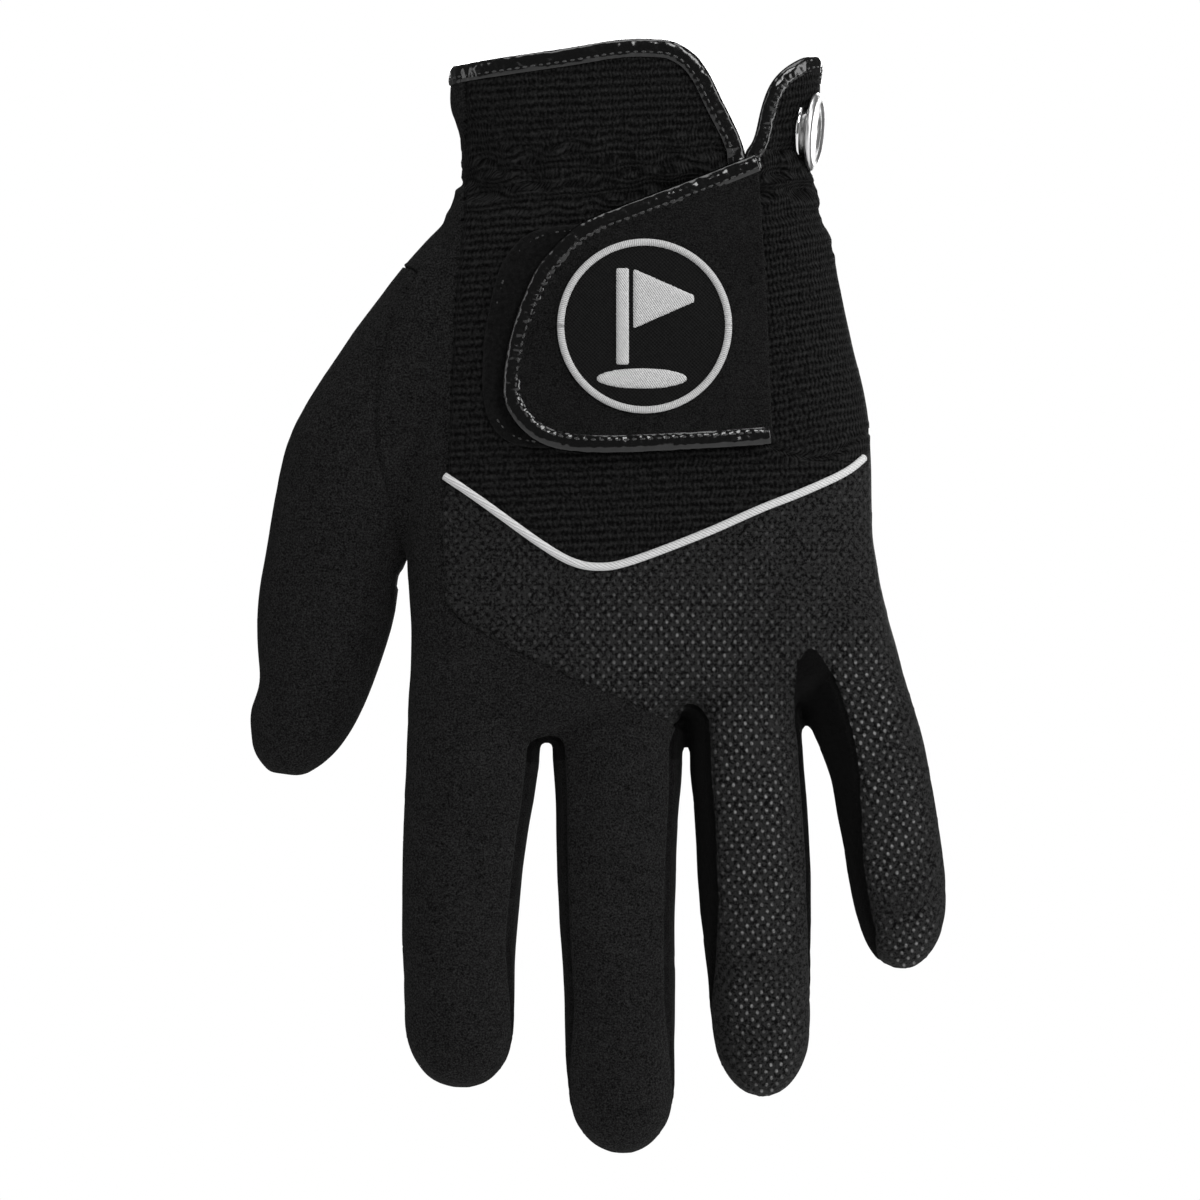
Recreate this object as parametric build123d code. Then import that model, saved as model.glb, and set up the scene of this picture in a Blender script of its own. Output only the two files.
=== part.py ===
from build123d import *
import math
import os

# Left-hand golf glove, worn shape, hanging fingers down. Millimetres.
# X runs across the hand from the thumb side (-X) to the little finger side (+X).
# Y runs through the hand: the back of the hand faces -Y, the palm faces +Y.
# Z runs up the arm: the wrist opening is at Z = 0 and the fingertips point to -Z.
# Every limb is a tapered tube through flat sections, and every cloth panel is cut out of a tube's wall.

# ---- driving dimensions ----
CLOTH = 1.0                # thickness of the suede and knit panels
SECTION_POINTS = 16        # points on a section's outline
FRONT_REACH = 40.0         # how far a front cutter reaches in -Y

# hand: z at the section's middle, left x, right x, back depth, palm depth, squareness, slope of the section
HAND = [
    (7.0, -40.6, 38.8, 15.0, 15.5, 3.2, 0.0),
    (-5.0, -40.6, 38.6, 14.6, 15.2, 3.2, 0.0),
    (-15.0, -38.6, 35.9, 14.0, 14.6, 3.2, 0.0),
    (-24.0, -38.0, 37.4, 14.0, 14.8, 3.1, 0.0),
    (-38.0, -42.5, 40.8, 15.2, 17.0, 2.8, 0.0),
    (-55.0, -47.5, 43.6, 16.2, 18.8, 2.6, 0.0),
    (-75.0, -50.3, 48.8, 16.4, 19.2, 2.6, 0.0),
    (-95.0, -51.0, 50.0, 15.6, 17.6, 2.6, 0.0),
    (-115.0, -49.3, 52.2, 14.2, 14.8, 2.6, 0.1),
    (-135.3, -50.2, 56.0, 12.6, 12.8, 2.7, 0.22),
]

# fingers: root x and z, lean from the vertical in degrees, z of the two flex zones along the finger,
# then sections as distance from the root, half width, half depth, sideways shift, shift towards the palm
FINGERS = {
    "index": {
        "root": (-35.9, -147.0), "lean": -2.4, "zones": (0.0, 20.0, 28.0, 49.0),
        "sections": [(1, 14.5, 10.8, 0, 0), (10, 14.0, 10.4, -0.4, 0.2),
                     (20, 13.4, 10.1, -0.9, 0.6), (28, 13.0, 9.9, -1.2, 1.0), (38, 12.5, 9.6, -1.2, 1.8),
                     (49, 12.1, 9.3, -0.9, 3.0), (60, 11.7, 9.0, -0.5, 4.6), (66, 10.8, 8.6, -0.2, 5.6),
                     (70, 8.8, 7.4, 0, 6.3), (72.6, 5.6, 5.0, 0, 6.8), (73.8, 2.2, 2.2, 0, 7.0)],
    },
    "middle": {
        "root": (-4.8, -147.0), "lean": 0.6, "zones": (0.0, 20.0, 35.0, 57.0),
        "sections": [(-9, 14.2, 11.2, 0, 0), (0, 14.1, 11.0, 0, 0), (10, 13.7, 10.6, 0, 0.2),
                     (20, 13.3, 10.3, -0.3, 0.6), (35, 12.7, 10.0, -0.5, 1.4), (46, 12.3, 9.7, -0.4, 2.3),
                     (57, 12.0, 9.4, -0.3, 3.5), (70, 11.6, 9.1, 0, 5.2), (79, 10.6, 8.7, 0, 6.5),
                     (84, 8.6, 7.4, 0, 7.3), (87, 5.4, 5.0, 0, 7.8), (88.3, 2.2, 2.2, 0, 8.0)],
    },
    "ring": {
        "root": (22.2, -141.0), "lean": 3.5, "zones": (0.0, 20.0, 32.0, 53.0),
        "sections": [(-11, 12.3, 10.8, 0, 0), (0, 12.3, 10.6, 0, 0), (10, 12.4, 10.1, 0.2, 0.2),
                     (20, 12.4, 9.8, 0.3, 0.6), (32, 12.1, 9.4, 0.4, 1.2), (42, 11.8, 9.1, 0.4, 2.0),
                     (53, 11.2, 8.7, 0.3, 3.2), (64, 10.6, 8.4, 0, 4.6), (73, 9.8, 8.0, 0, 5.8),
                     (78, 7.8, 6.8, 0, 6.5), (81, 4.8, 4.6, 0, 7.0), (82.2, 2.0, 2.0, 0, 7.2)],
    },
    "little": {
        "root": (44.9, -129.6), "lean": 11.5, "zones": (0.0, 18.0, 25.0, 44.0),
        "sections": [(-2.5, 10.7, 9.6, 0, 0), (0, 10.9, 9.5, 0.4, 0), (9, 11.1, 9.1, 1.0, 0.2),
                     (18, 11.0, 8.8, 1.4, 0.5), (25, 10.8, 8.5, 1.6, 1.0), (34, 10.6, 8.2, 1.7, 1.8),
                     (44, 10.4, 7.9, 1.5, 3.0), (53, 9.9, 7.6, 1.0, 4.3), (60, 8.8, 7.0, 0.4, 5.4),
                     (63.6, 6.8, 5.8, 0, 6.0), (65.8, 4.2, 3.8, 0, 6.4), (66.8, 1.8, 1.8, 0, 6.6)],
    },
}
SIDE_ANGLE = 0.44          # half the angle round a finger that one side strip covers
ROUND = 2.25               # squareness of finger sections, 2 is an ellipse

# thumb: left x, left z, right x, right z, half depth, shift towards the palm
THUMB = [
    (-46.0, -42.0, -31.0, -61.0, 11.5, 2.0), (-65.0, -63.0, -37.0, -80.0, 13.5, 4.0),
    (-76.6, -83.0, -46.0, -97.0, 13.6, 6.0), (-80.8, -104.6, -51.9, -109.4, 12.2, 7.8),
    (-82.4, -113.8, -53.2, -118.6, 11.8, 8.6), (-83.2, -122.6, -55.7, -127.1, 11.2, 9.4),
    (-82.9, -132.4, -59.0, -135.6, 10.4, 10.2), (-84.4, -142.0, -64.6, -145.2, 9.2, 11.0),
    (-83.0, -148.6, -69.2, -150.6, 6.8, 11.4), (-80.4, -152.4, -74.6, -153.4, 3.2, 11.6),
    (-78.6, -154.0, -76.8, -154.3, 1.2, 11.7),
]
THUMB_BASE_LAST = 3        # the flex zone starts at this section
THUMB_TIP_FIRST = 5        # and ends at this one

# front outlines, x and z
BACK_LEFT = [(-37.8, 12.0), (-37.8, -24.0), (-38.8, -41.0), (-39.7, -52.0), (-40.8, -73.0), (-41.6, -88.6)]
PIPING_LINE = [(-41.6, -88.6), (-34.3, -93.8), (-21.4, -102.9), (-14.6, -106.8), (-8.6, -107.8),
               (0.0, -106.2), (12.9, -101.4), (25.7, -96.0), (34.3, -92.4), (42.9, -88.6), (49.2, -83.4)]
KNUCKLE_EDGE = [(-42.6, -105.0), (-42.2, -115.6), (-38.8, -119.8), (-26.1, -127.1), (-11.4, -133.7), (7.6, -142.0)]
PIPING_WIDTH = 1.7
SLIT_EDGE = [(22.0, -19.6), (25.2, -40.0), (27.6, -60.0), (29.8, -84.0)]
SLIT_WIDTH = 1.2
CUFF_TOP = [(-44.0, -1.2), (-17.1, 2.0), (-0.4, 4.2), (5.4, 4.1), (10.7, 1.8), (13.9, -2.1),
            (17.1, -8.6), (20.4, -15.0), (22.0, -19.6)]
WING_TOP = [(23.2, -20.0), (25.0, -17.0), (25.9, -12.9), (26.8, -8.6), (28.6, -4.3), (32.1, -1.1),
            (36.9, 0.9), (44.0, 1.2)]
WING_FOOT = [(29.8, -84.0), (34.3, -85.6), (40.7, -85.0), (46.1, -82.4), (56.0, -76.0)]
BINDING_WIDTH = 3.4
BINDING_PROUD = 0.5        # how far a binding stands out of the cloth
# the palm side's top edge, hollowed over the heel of the hand
PALM_EDGE = [(-60.0, -1.0), (-39.0, -1.2), (-30.0, -4.8), (-18.0, -12.4), (-6.0, -18.8), (6.0, -22.2),
             (18.0, -23.0), (25.0, -20.8), (30.0, -14.0), (34.0, -6.4), (38.0, -1.0), (60.0, 0.0)]

# closure tab
TAB_OUTLINE = [(26.4, -20.6), (12.9, -25.6), (4.3, -28.9), (-4.3, -32.1), (-10.7, -34.9), (-15.6, -38.0),
               (-19.6, -42.0), (-22.8, -46.4), (-25.9, -53.6), (-28.0, -61.1), (-29.0, -67.5), (-28.9, -72.9),
               (-27.0, -77.3), (-23.6, -80.6), (-19.0, -83.0), (-12.9, -84.1), (-4.3, -84.3), (8.6, -83.7),
               (19.3, -82.9), (29.6, -82.2)]
TAB_THICK = 1.3
TAB_BINDING = 3.0
HOOK_THICK = 0.7
LOOP_THICK = 0.7
PATCH_GAP = 0.3            # between hook and loop patches
LOOP_MARGIN = 4.6          # how far the loop patch shows beyond the tab
BADGE_CENTRE = (0.9, -57.4)
BADGE_RADIUS = 18.6
BADGE_RING = 1.6
BADGE_THICK = 0.4
STITCH_THICK = 0.7

ELASTIC_TOP, ELASTIC_FOOT, ELASTIC_THICK = -18.0, -29.0, 0.8
PALM_ELASTIC_DROP = 9.5    # the elastic on the palm side sits this much lower

# ball marker and its snap, on the wing's outer side
MARKER_AT = (35.2, -3.0, -14.8)
MARKER_NORMAL = (0.973, -0.21, -0.095)
MARKER_RADIUS, MARKER_THICK, MARKER_STANDOFF = 8.4, 1.4, 1.7
SNAP_RADIUS, SNAP_DEEP, SNAP_PROUD = 6.0, 2.6, 1.5
STUD_RADIUS, STUD_LENGTH, RUNNING_GAP = 2.4, 2.6, 0.05
RIVET_RADIUS, RIVET_THICK = 7.0, 0.8

MARKER_DISH = 6.4          # radius of the shallow dish in the marker's face
MARKER_DISH_DEPTH = 0.25


def power(value, exponent):
    """value to exponent, keeping value's sign."""
    return math.copysign(abs(value) ** exponent, value)


def outline_points(centre, tilt, half_width, back_depth, palm_depth, squareness, angles):
    """Points of a superellipse outline: width along the tilted X, depth along Y."""
    across = Vector(math.cos(tilt), 0, math.sin(tilt))
    points = []
    for angle in angles:
        u = half_width * power(math.cos(angle), 2 / squareness)
        depth = palm_depth if math.sin(angle) > 0 else back_depth
        v = depth * power(math.sin(angle), 2 / squareness)
        points.append(Vector(*centre) + across * u + Vector(0, v, 0))
    return points


def sheet_wire(centre, tilt, sizes, squareness, start, end, outside, inside):
    """Cross-section of a curved sheet: part of an outline, given thickness between two offsets inwards."""
    width, back, palm = sizes
    count = max(4, round(SECTION_POINTS * (end - start) / (2 * math.pi)))
    angles = [start + (end - start) * i / count for i in range(count + 1)]
    outer, inner = (outline_points(centre, tilt, max(width - off, 0.4), max(back - off, 0.4),
                                   max(palm - off, 0.4), squareness, angles) for off in (outside, inside))
    return Wire([Edge.make_spline(outer), Edge.make_line(outer[-1], inner[-1]),
                 Edge.make_spline(inner[::-1]), Edge.make_line(inner[0], outer[0])])


def hand_sheet(outside, inside, start, end, extend=0.0):
    """A sheet wrapped round part of the hand's form; extend lifts its top."""
    wires = []
    for i, (z, left, right, back, palm, square, slope) in enumerate(HAND):
        sizes = ((right - left) / 2 * math.hypot(1, slope), back, palm)
        centre = ((left + right) / 2, 0, z + (extend if i == 0 else 0.0))
        wires.append(sheet_wire(centre, math.atan(slope), sizes, square, start, end, outside, inside))
    return Solid.make_loft(wires, ruled=True)


def finger_frame(name):
    """Root point, direction along the finger and the lean in radians."""
    x, z = FINGERS[name]["root"]
    lean = math.radians(FINGERS[name]["lean"])
    return Vector(x, 0, z), Vector(math.sin(lean), 0, -math.cos(lean)), lean


def finger_section(name, distance):
    """Half width, half depth, sideways shift and palm shift at a distance from the root."""
    rows = FINGERS[name]["sections"]
    low = next((a for a, b in zip(rows, rows[1:]) if a[0] <= distance <= b[0]), rows[-2])
    high = rows[rows.index(low) + 1]
    t = (distance - low[0]) / (high[0] - low[0])
    return [low[k] + (high[k] - low[k]) * t for k in range(1, 5)]


def finger_stations(name, start, end):
    """Distances of the sections from start to end, both included."""
    inside = [row[0] for row in FINGERS[name]["sections"] if start < row[0] < end]
    return [start] + inside + [end]


def finger_sheet(name, start, end, outside, inside, from_angle, to_angle):
    """A sheet round part of a finger, from start to end along it."""
    root, along, lean = finger_frame(name)
    wires = []
    for s in finger_stations(name, start, end):
        width, depth, side, palm = finger_section(name, s)
        centre = root + along * s + Vector(math.cos(lean), 0, math.sin(lean)) * side + Vector(0, palm, 0)
        wires.append(sheet_wire(tuple(centre), lean, (width, depth, depth), ROUND,
                                from_angle, to_angle, outside, inside))
    return Solid.make_loft(wires, ruled=True)


def thumb_place(i, run_on=0.0):
    """Centre, tilt and half width of a thumb section, moved along the thumb by run_on."""
    left_x, left_z, right_x, right_z, _, palm = THUMB[i]
    tilt = math.atan2(right_z - left_z, right_x - left_x)
    centre = ((left_x + right_x) / 2 + math.sin(tilt) * run_on, palm, (left_z + right_z) / 2 - math.cos(tilt) * run_on)
    return centre, tilt, math.hypot(right_x - left_x, right_z - left_z) / 2


def thumb_sheet(first, last, from_angle, to_angle):
    """A sheet round part of the thumb between two of its sections."""
    wires = []
    for i in range(first, last + 1):
        centre, tilt, half = thumb_place(i)
        depth = THUMB[i][4]
        wires.append(sheet_wire(centre, tilt, (half, depth, depth), ROUND, from_angle, to_angle, 0.0, CLOTH))
    return Solid.make_loft(wires, ruled=True)


def thumb_solid(inset, run_on=0.0):
    """The thumb base's form, with each end moved outwards by run_on."""
    wires = []
    for i in range(THUMB_BASE_LAST + 1):
        centre, tilt, half = thumb_place(i, -run_on if i == 0 else run_on if i == THUMB_BASE_LAST else 0.0)
        depth = THUMB[i][4] - inset
        angles = [2 * math.pi * k / SECTION_POINTS for k in range(SECTION_POINTS)]
        points = outline_points(centre, tilt, half - inset, depth, depth, ROUND, angles)
        wires.append(Wire([Edge.make_spline(points, periodic=True)]))
    return Solid.make_loft(wires, ruled=True)


def hand_solid():
    """The hand's outer form as one solid."""
    wires = []
    for z, left, right, back, palm, square, slope in HAND:
        angles = [2 * math.pi * k / SECTION_POINTS for k in range(SECTION_POINTS)]
        half = (right - left) / 2 * math.hypot(1, slope)
        points = outline_points(((left + right) / 2, 0, z), math.atan(slope), half, back, palm, square, angles)
        wires.append(Wire([Edge.make_spline(points, periodic=True)]))
    return Solid.make_loft(wires, ruled=True)


def prism(points, y_from=-FRONT_REACH, y_to=0.0):
    """A front-view outline of straight lines, run along Y."""
    wire = Wire.make_polygon([Vector(x, y_from, z) for x, z in points], close=True)
    return Solid.extrude(Face(wire), Vector(0, y_to - y_from, 0))


def shifted(line, dx, dz):
    """A line of front-view points, moved."""
    return [(x + dx, z + dz) for x, z in line]


def widened(line, half):
    """A closed outline that runs along a line at half to each side of it."""
    left, right = [], []
    for i, (x, z) in enumerate(line):
        ahead, behind = line[min(i + 1, len(line) - 1)], line[max(i - 1, 0)]
        dx, dz = ahead[0] - behind[0], ahead[1] - behind[1]
        length = math.hypot(dx, dz)
        left.append((x - dz / length * half, z + dx / length * half))
        right.append((x + dz / length * half, z - dx / length * half))
    return left + right[::-1]


def inset_outline(outline, centre, amount):
    """An outline pulled towards a centre by a fixed amount, for the parts that sit inside a binding."""
    made = []
    for x, z in outline:
        dx, dz = x - centre[0], z - centre[1]
        reach = math.hypot(dx, dz)
        made.append((centre[0] + dx * (reach - amount) / reach, centre[1] + dz * (reach - amount) / reach))
    return made


def save(name, *solids):
    """Writes one node from all the solids given."""
    found = [s for shape in solids for s in shape.solids()]
    export_step(Compound(children=found) if len(found) > 1 else found[0], f"parts/{name}.step")


def largest(shape):
    """The biggest of a shape's solids, which drops the crumbs a cut leaves."""
    return max(shape.solids(), key=lambda s: s.volume)


# ---- fingers ----
def make_finger(name):
    """Two gusset rings that bend and two rigid stretches of three panels each."""
    zone = FINGERS[name]["zones"]
    first, last = FINGERS[name]["sections"][0][0], FINGERS[name]["sections"][-1][0]
    for part, start, end in (("knuckle", first, zone[1]), ("midjoint", zone[2], zone[3])):
        halves = [finger_sheet(name, start, end, 0.0, CLOTH, turn, turn + math.pi) for turn in (0.0, math.pi)]
        save(f"{name}_{part}_gusset", *halves)
    for part, start, end in (("base", zone[1], zone[2]), ("tip", zone[3], last)):
        sides = [finger_sheet(name, start, end, 0.0, CLOTH, turn - SIDE_ANGLE, turn + SIDE_ANGLE)
                 for turn in (0.0, math.pi)]
        save(f"{name}_{part}_sides", *sides)
        save(f"{name}_{part}_palm", finger_sheet(name, start, end, 0.0, CLOTH, SIDE_ANGLE, math.pi - SIDE_ANGLE))
        save(f"{name}_{part}_back",
             finger_sheet(name, start, end, 0.0, CLOTH, math.pi + SIDE_ANGLE, 2 * math.pi - SIDE_ANGLE))


# ---- thumb ----
def make_thumb(body):
    """Base that meets the hand, a gusset that bends, and a tip of two panels."""
    base = thumb_solid(0.0) - thumb_solid(CLOTH, run_on=1.0) - body
    save("thumb_base", largest(base))
    halves = [thumb_sheet(THUMB_BASE_LAST, THUMB_TIP_FIRST, turn, turn + math.pi) for turn in (0.0, math.pi)]
    save("thumb_gusset", *halves)
    end = len(THUMB) - 1
    save("thumb_tip_palm", thumb_sheet(THUMB_TIP_FIRST, end, 0.0, math.pi))
    save("thumb_tip_back", thumb_sheet(THUMB_TIP_FIRST, end, math.pi, 2 * math.pi))


# ---- hand panels ----
def marker_cylinder(radius, start, length):
    """A cylinder on the marker's axis, start above the cloth."""
    place = Plane(origin=MARKER_AT, z_dir=MARKER_NORMAL)
    return place * Location((0, 0, start)) * Cylinder(radius, length, align=(Align.CENTER, Align.CENTER, Align.MIN))


def make_hand():
    """Suede palm and side, rib back, knuckle panel, wing, bindings, piping and the elastic inside."""
    make_thumb(hand_solid())
    thumb = thumb_solid(0.0)
    front = hand_sheet(0.0, CLOTH, math.pi, 2 * math.pi)
    rear = hand_sheet(0.0, CLOTH, 0.0, math.pi)
    far = 75.0
    pocket = marker_cylinder(SNAP_RADIUS + RUNNING_GAP, -SNAP_DEEP, 2 * SNAP_DEEP)
    pocket = pocket + marker_cylinder(RIVET_RADIUS + RUNNING_GAP, -SNAP_DEEP - 2 * RIVET_THICK, 2 * RIVET_THICK + 0.1)
    pocket = pocket + marker_cylinder(MARKER_RADIUS + 0.3, MARKER_STANDOFF - 0.2, 6.0)

    above_front = prism(CUFF_TOP + WING_TOP + [(60.0, 1.2), (60.0, 30.0), (-60.0, 30.0), (-60.0, -1.2)], y_to=2.0)
    above_rear = prism(PALM_EDGE + [(60, 30), (-60, 30)], y_from=-1.0, y_to=FRONT_REACH)
    cuff_strip = prism(CUFF_TOP + shifted(CUFF_TOP, -1.0, -BINDING_WIDTH)[::-1])
    wing_strip = prism(WING_TOP + shifted(WING_TOP, 1.6, -BINDING_WIDTH)[::-1])
    palm_strip = prism(PALM_EDGE + shifted(PALM_EDGE, 0.0, -BINDING_WIDTH)[::-1], y_from=-1.0, y_to=FRONT_REACH)

    # a binding wraps each open edge and stands proud of the cloth on both sides
    proud = hand_sheet(-BINDING_PROUD, CLOTH + 0.4, math.pi, 2 * math.pi)
    save("cuff_binding", largest(proud & cuff_strip))
    save("wing_binding", largest((proud & wing_strip) - pocket))
    save("palm_binding", largest(hand_sheet(-BINDING_PROUD, CLOTH + 0.4, 0.0, math.pi) & palm_strip))
    front = largest(largest(front - above_front) - cuff_strip - wing_strip)
    rear = rear - above_rear - palm_strip - thumb - pocket

    piping_cut = prism(widened(PIPING_LINE, PIPING_WIDTH / 2))
    slit = prism(widened(SLIT_EDGE, SLIT_WIDTH / 2))
    wing_shape = prism([(22.0, 20.0), *SLIT_EDGE, *WING_FOOT[1:], (far, -76.0), (far, 20.0)])
    back_shape = prism(BACK_LEFT + PIPING_LINE[1:] + [(far, -70.0), (far, 20.0), (-37.8, 20.0)])
    knuckle_shape = prism([PIPING_LINE[0]] + KNUCKLE_EDGE + [(9.4, -170.0), (far, -170.0), (far, -80.0)]
                          + PIPING_LINE[:0:-1])
    upper = front & back_shape
    save("wing_panel", largest((upper & wing_shape) - slit - piping_cut - pocket))
    save("back_panel", largest(upper - wing_shape - slit - piping_cut))
    save("knuckle_panel", largest((front & knuckle_shape) - piping_cut))
    trank = largest(front - back_shape - knuckle_shape - piping_cut - thumb)
    save("palm_panel", largest(rear), trank)
    piping = hand_sheet(-0.9, 0.7, math.pi, 2 * math.pi) & prism(widened(PIPING_LINE, PIPING_WIDTH / 2 - 0.05))
    save("piping", largest(piping))

    band = Location((0, 0, (ELASTIC_TOP + ELASTIC_FOOT) / 2)) * Box(120, 80, ELASTIC_TOP - ELASTIC_FOOT)
    opening = prism([(15.5, 0.0), (31.0, 0.0), (31.0, -40.0), (15.5, -40.0)])
    inside = (CLOTH + 0.1, CLOTH + 0.1 + ELASTIC_THICK)
    elastic_back = (hand_sheet(*inside, math.pi, 2 * math.pi) & band) - opening
    elastic_palm = (hand_sheet(*inside, 0.0, math.pi) & band.moved(Location((0, 0, -PALM_ELASTIC_DROP)))) - pocket
    save("wrist_elastic", *[s for s in elastic_back.solids() if s.bounding_box().max.X < 28], largest(elastic_palm))


def layer(outline, near, far):
    """A piece of sheet on the back of the hand, from near to far above its surface."""
    return largest(hand_sheet(-far, -near, math.pi, 2 * math.pi) & outline)


def disc_prism(radius):
    """A round cutter on the badge's centre."""
    axis = Plane(origin=(BADGE_CENTRE[0], 0, BADGE_CENTRE[1]), z_dir=(0, -1, 0))
    return axis * Cylinder(radius, FRONT_REACH, align=(Align.CENTER, Align.CENTER, Align.MIN))


def flag_prisms():
    """A plain golf flag: pole, pennant and the cup's rim."""
    x, z = BADGE_CENTRE
    pole = prism([(x - 2.6, z + 11.5), (x - 1.0, z + 11.5), (x - 1.0, z - 9.5), (x - 2.6, z - 9.5)])
    pennant = prism([(x - 0.7, z + 11.5), (x + 10.0, z + 6.6), (x - 0.7, z + 1.6)])
    rim = [(x - 1.8 + 8.0 * math.cos(a), z - 11.4 + 1.4 * math.sin(a))
           for a in (2 * math.pi * i / SECTION_POINTS for i in range(SECTION_POINTS))]
    return pole, pennant, prism(rim)


def make_tab():
    """The hook-and-loop tab over the slit, with its binding, badge and patches."""
    loop_top = 0.05 + LOOP_THICK
    hook_low = loop_top + PATCH_GAP
    tab_low = hook_low + HOOK_THICK
    tab_top = tab_low + TAB_THICK
    centre = (-1.0, -58.0)
    field_points = inset_outline(TAB_OUTLINE, centre, TAB_BINDING)
    field_points[0] = (TAB_OUTLINE[0][0], TAB_OUTLINE[0][1] - TAB_BINDING)
    field_points[-1] = (TAB_OUTLINE[-1][0], TAB_OUTLINE[-1][1] + TAB_BINDING)
    field = prism(field_points)
    save("tab_panel", layer(field, tab_low, tab_top))
    save("tab_binding", layer(prism(TAB_OUTLINE) - field, tab_low - 0.2, tab_top + BINDING_PROUD))
    patch = prism([p for p in inset_outline(TAB_OUTLINE, centre, 5.5) if p[0] < 14.0])
    save("hook_patch", layer(patch, hook_low, tab_low))
    loop = prism([p for p in inset_outline(TAB_OUTLINE, centre, -LOOP_MARGIN) if p[0] < 16.0 and p[1] < -26.0])
    save("loop_patch", layer(loop, 0.05, loop_top))
    ring = disc_prism(BADGE_RADIUS) - disc_prism(BADGE_RADIUS - BADGE_RING)
    save("badge_ring", layer(ring, tab_top, tab_top + STITCH_THICK))
    cloth_top = tab_top + BADGE_THICK
    save("badge_cloth", layer(disc_prism(BADGE_RADIUS - BADGE_RING), tab_top, cloth_top))
    save("badge_flag", *[layer(p, cloth_top, cloth_top + STITCH_THICK) for p in flag_prisms()])


def make_marker():
    """Snap through the wing and the ball marker that pulls off it."""
    bore = marker_cylinder(STUD_RADIUS + RUNNING_GAP, -10, 20)
    save("snap_socket", marker_cylinder(SNAP_RADIUS, -SNAP_DEEP, SNAP_DEEP + SNAP_PROUD) - bore)
    save("snap_rivet", marker_cylinder(RIVET_RADIUS, -SNAP_DEEP - RIVET_THICK, RIVET_THICK) - bore)
    face = MARKER_STANDOFF + MARKER_THICK
    disc = marker_cylinder(MARKER_RADIUS, MARKER_STANDOFF, MARKER_THICK)
    save("marker_disc", disc - marker_cylinder(MARKER_DISH, face - MARKER_DISH_DEPTH, 1.0))
    save("marker_stud", marker_cylinder(STUD_RADIUS, MARKER_STANDOFF - STUD_LENGTH, STUD_LENGTH))


def main():
    os.makedirs("parts", exist_ok=True)
    make_hand()
    make_tab()
    make_marker()
    for name in FINGERS:
        make_finger(name)


main()
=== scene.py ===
import math

import bmesh
import bpy
import numpy as np
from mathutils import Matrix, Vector
from mathutils.bvhtree import BVHTree


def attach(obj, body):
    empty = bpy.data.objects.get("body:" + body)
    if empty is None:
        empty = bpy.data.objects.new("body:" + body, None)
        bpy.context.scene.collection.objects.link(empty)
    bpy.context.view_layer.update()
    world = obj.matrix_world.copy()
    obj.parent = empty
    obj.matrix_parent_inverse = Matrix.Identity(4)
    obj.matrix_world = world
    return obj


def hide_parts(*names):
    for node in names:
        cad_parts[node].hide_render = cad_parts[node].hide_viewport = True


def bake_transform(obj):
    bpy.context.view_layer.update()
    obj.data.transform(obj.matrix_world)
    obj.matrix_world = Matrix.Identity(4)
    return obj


# A left-hand golf glove in its worn shape, fingers hanging down.
# Lengths in this script are millimetres until build() makes an object; the back of the hand faces -Y.

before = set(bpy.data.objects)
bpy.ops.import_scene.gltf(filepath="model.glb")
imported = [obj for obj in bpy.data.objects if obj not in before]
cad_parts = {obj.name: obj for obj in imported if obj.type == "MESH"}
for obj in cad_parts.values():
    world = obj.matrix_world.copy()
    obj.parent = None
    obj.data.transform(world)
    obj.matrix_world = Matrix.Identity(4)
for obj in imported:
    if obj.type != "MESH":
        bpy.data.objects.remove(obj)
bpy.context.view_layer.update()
MM = 0.001

# ---------------------------------------------------------------- camera, lights and world
scene = bpy.context.scene
scene.view_settings.view_transform = "Standard"
scene.view_settings.look = "None"

VIEW_WIDTH = 257.2          # width of the picture at the glove
LENS = 200.0
camera_data = bpy.data.cameras.new("camera")
camera_data.lens = LENS
camera_data.sensor_width = 36.0
camera_data.clip_end = 50
camera = bpy.data.objects.new("camera", camera_data)
scene.collection.objects.link(camera)
camera.location = (-8.6 * MM, -(LENS / 36.0 * VIEW_WIDTH + 8.0) * MM, -115.7 * MM)
camera.rotation_euler = (math.pi / 2, 0, 0)
scene.camera = camera


def area_light(name, place, target, size, power):
    """A soft rectangular light, in metres and watts."""
    data = bpy.data.lights.new(name, "AREA")
    data.shape = "RECTANGLE"
    data.size, data.size_y = size
    data.energy = power
    light = bpy.data.objects.new(name, data)
    light.location = place
    light.rotation_euler = (Vector(target) - Vector(place)).to_track_quat("-Z", "Y").to_euler()
    scene.collection.objects.link(light)


area_light("front_softbox", (0.5, -1.0, 0.7), (0, 0, -0.11), (0.5, 0.5), 9.0)
area_light("left_strip", (-0.9, -0.5, 0.15), (0, 0, -0.11), (0.25, 0.9), 1.8)
area_light("right_strip", (0.85, -0.35, 0.1), (0, 0, -0.11), (0.3, 0.9), 5.0)
area_light("top_softbox", (0.0, -0.15, 0.9), (0, 0, -0.1), (0.8, 0.5), 5.0)
area_light("rear_softbox", (0.1, 1.1, 0.2), (0, 0, -0.11), (0.8, 0.8), 16.0)

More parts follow.
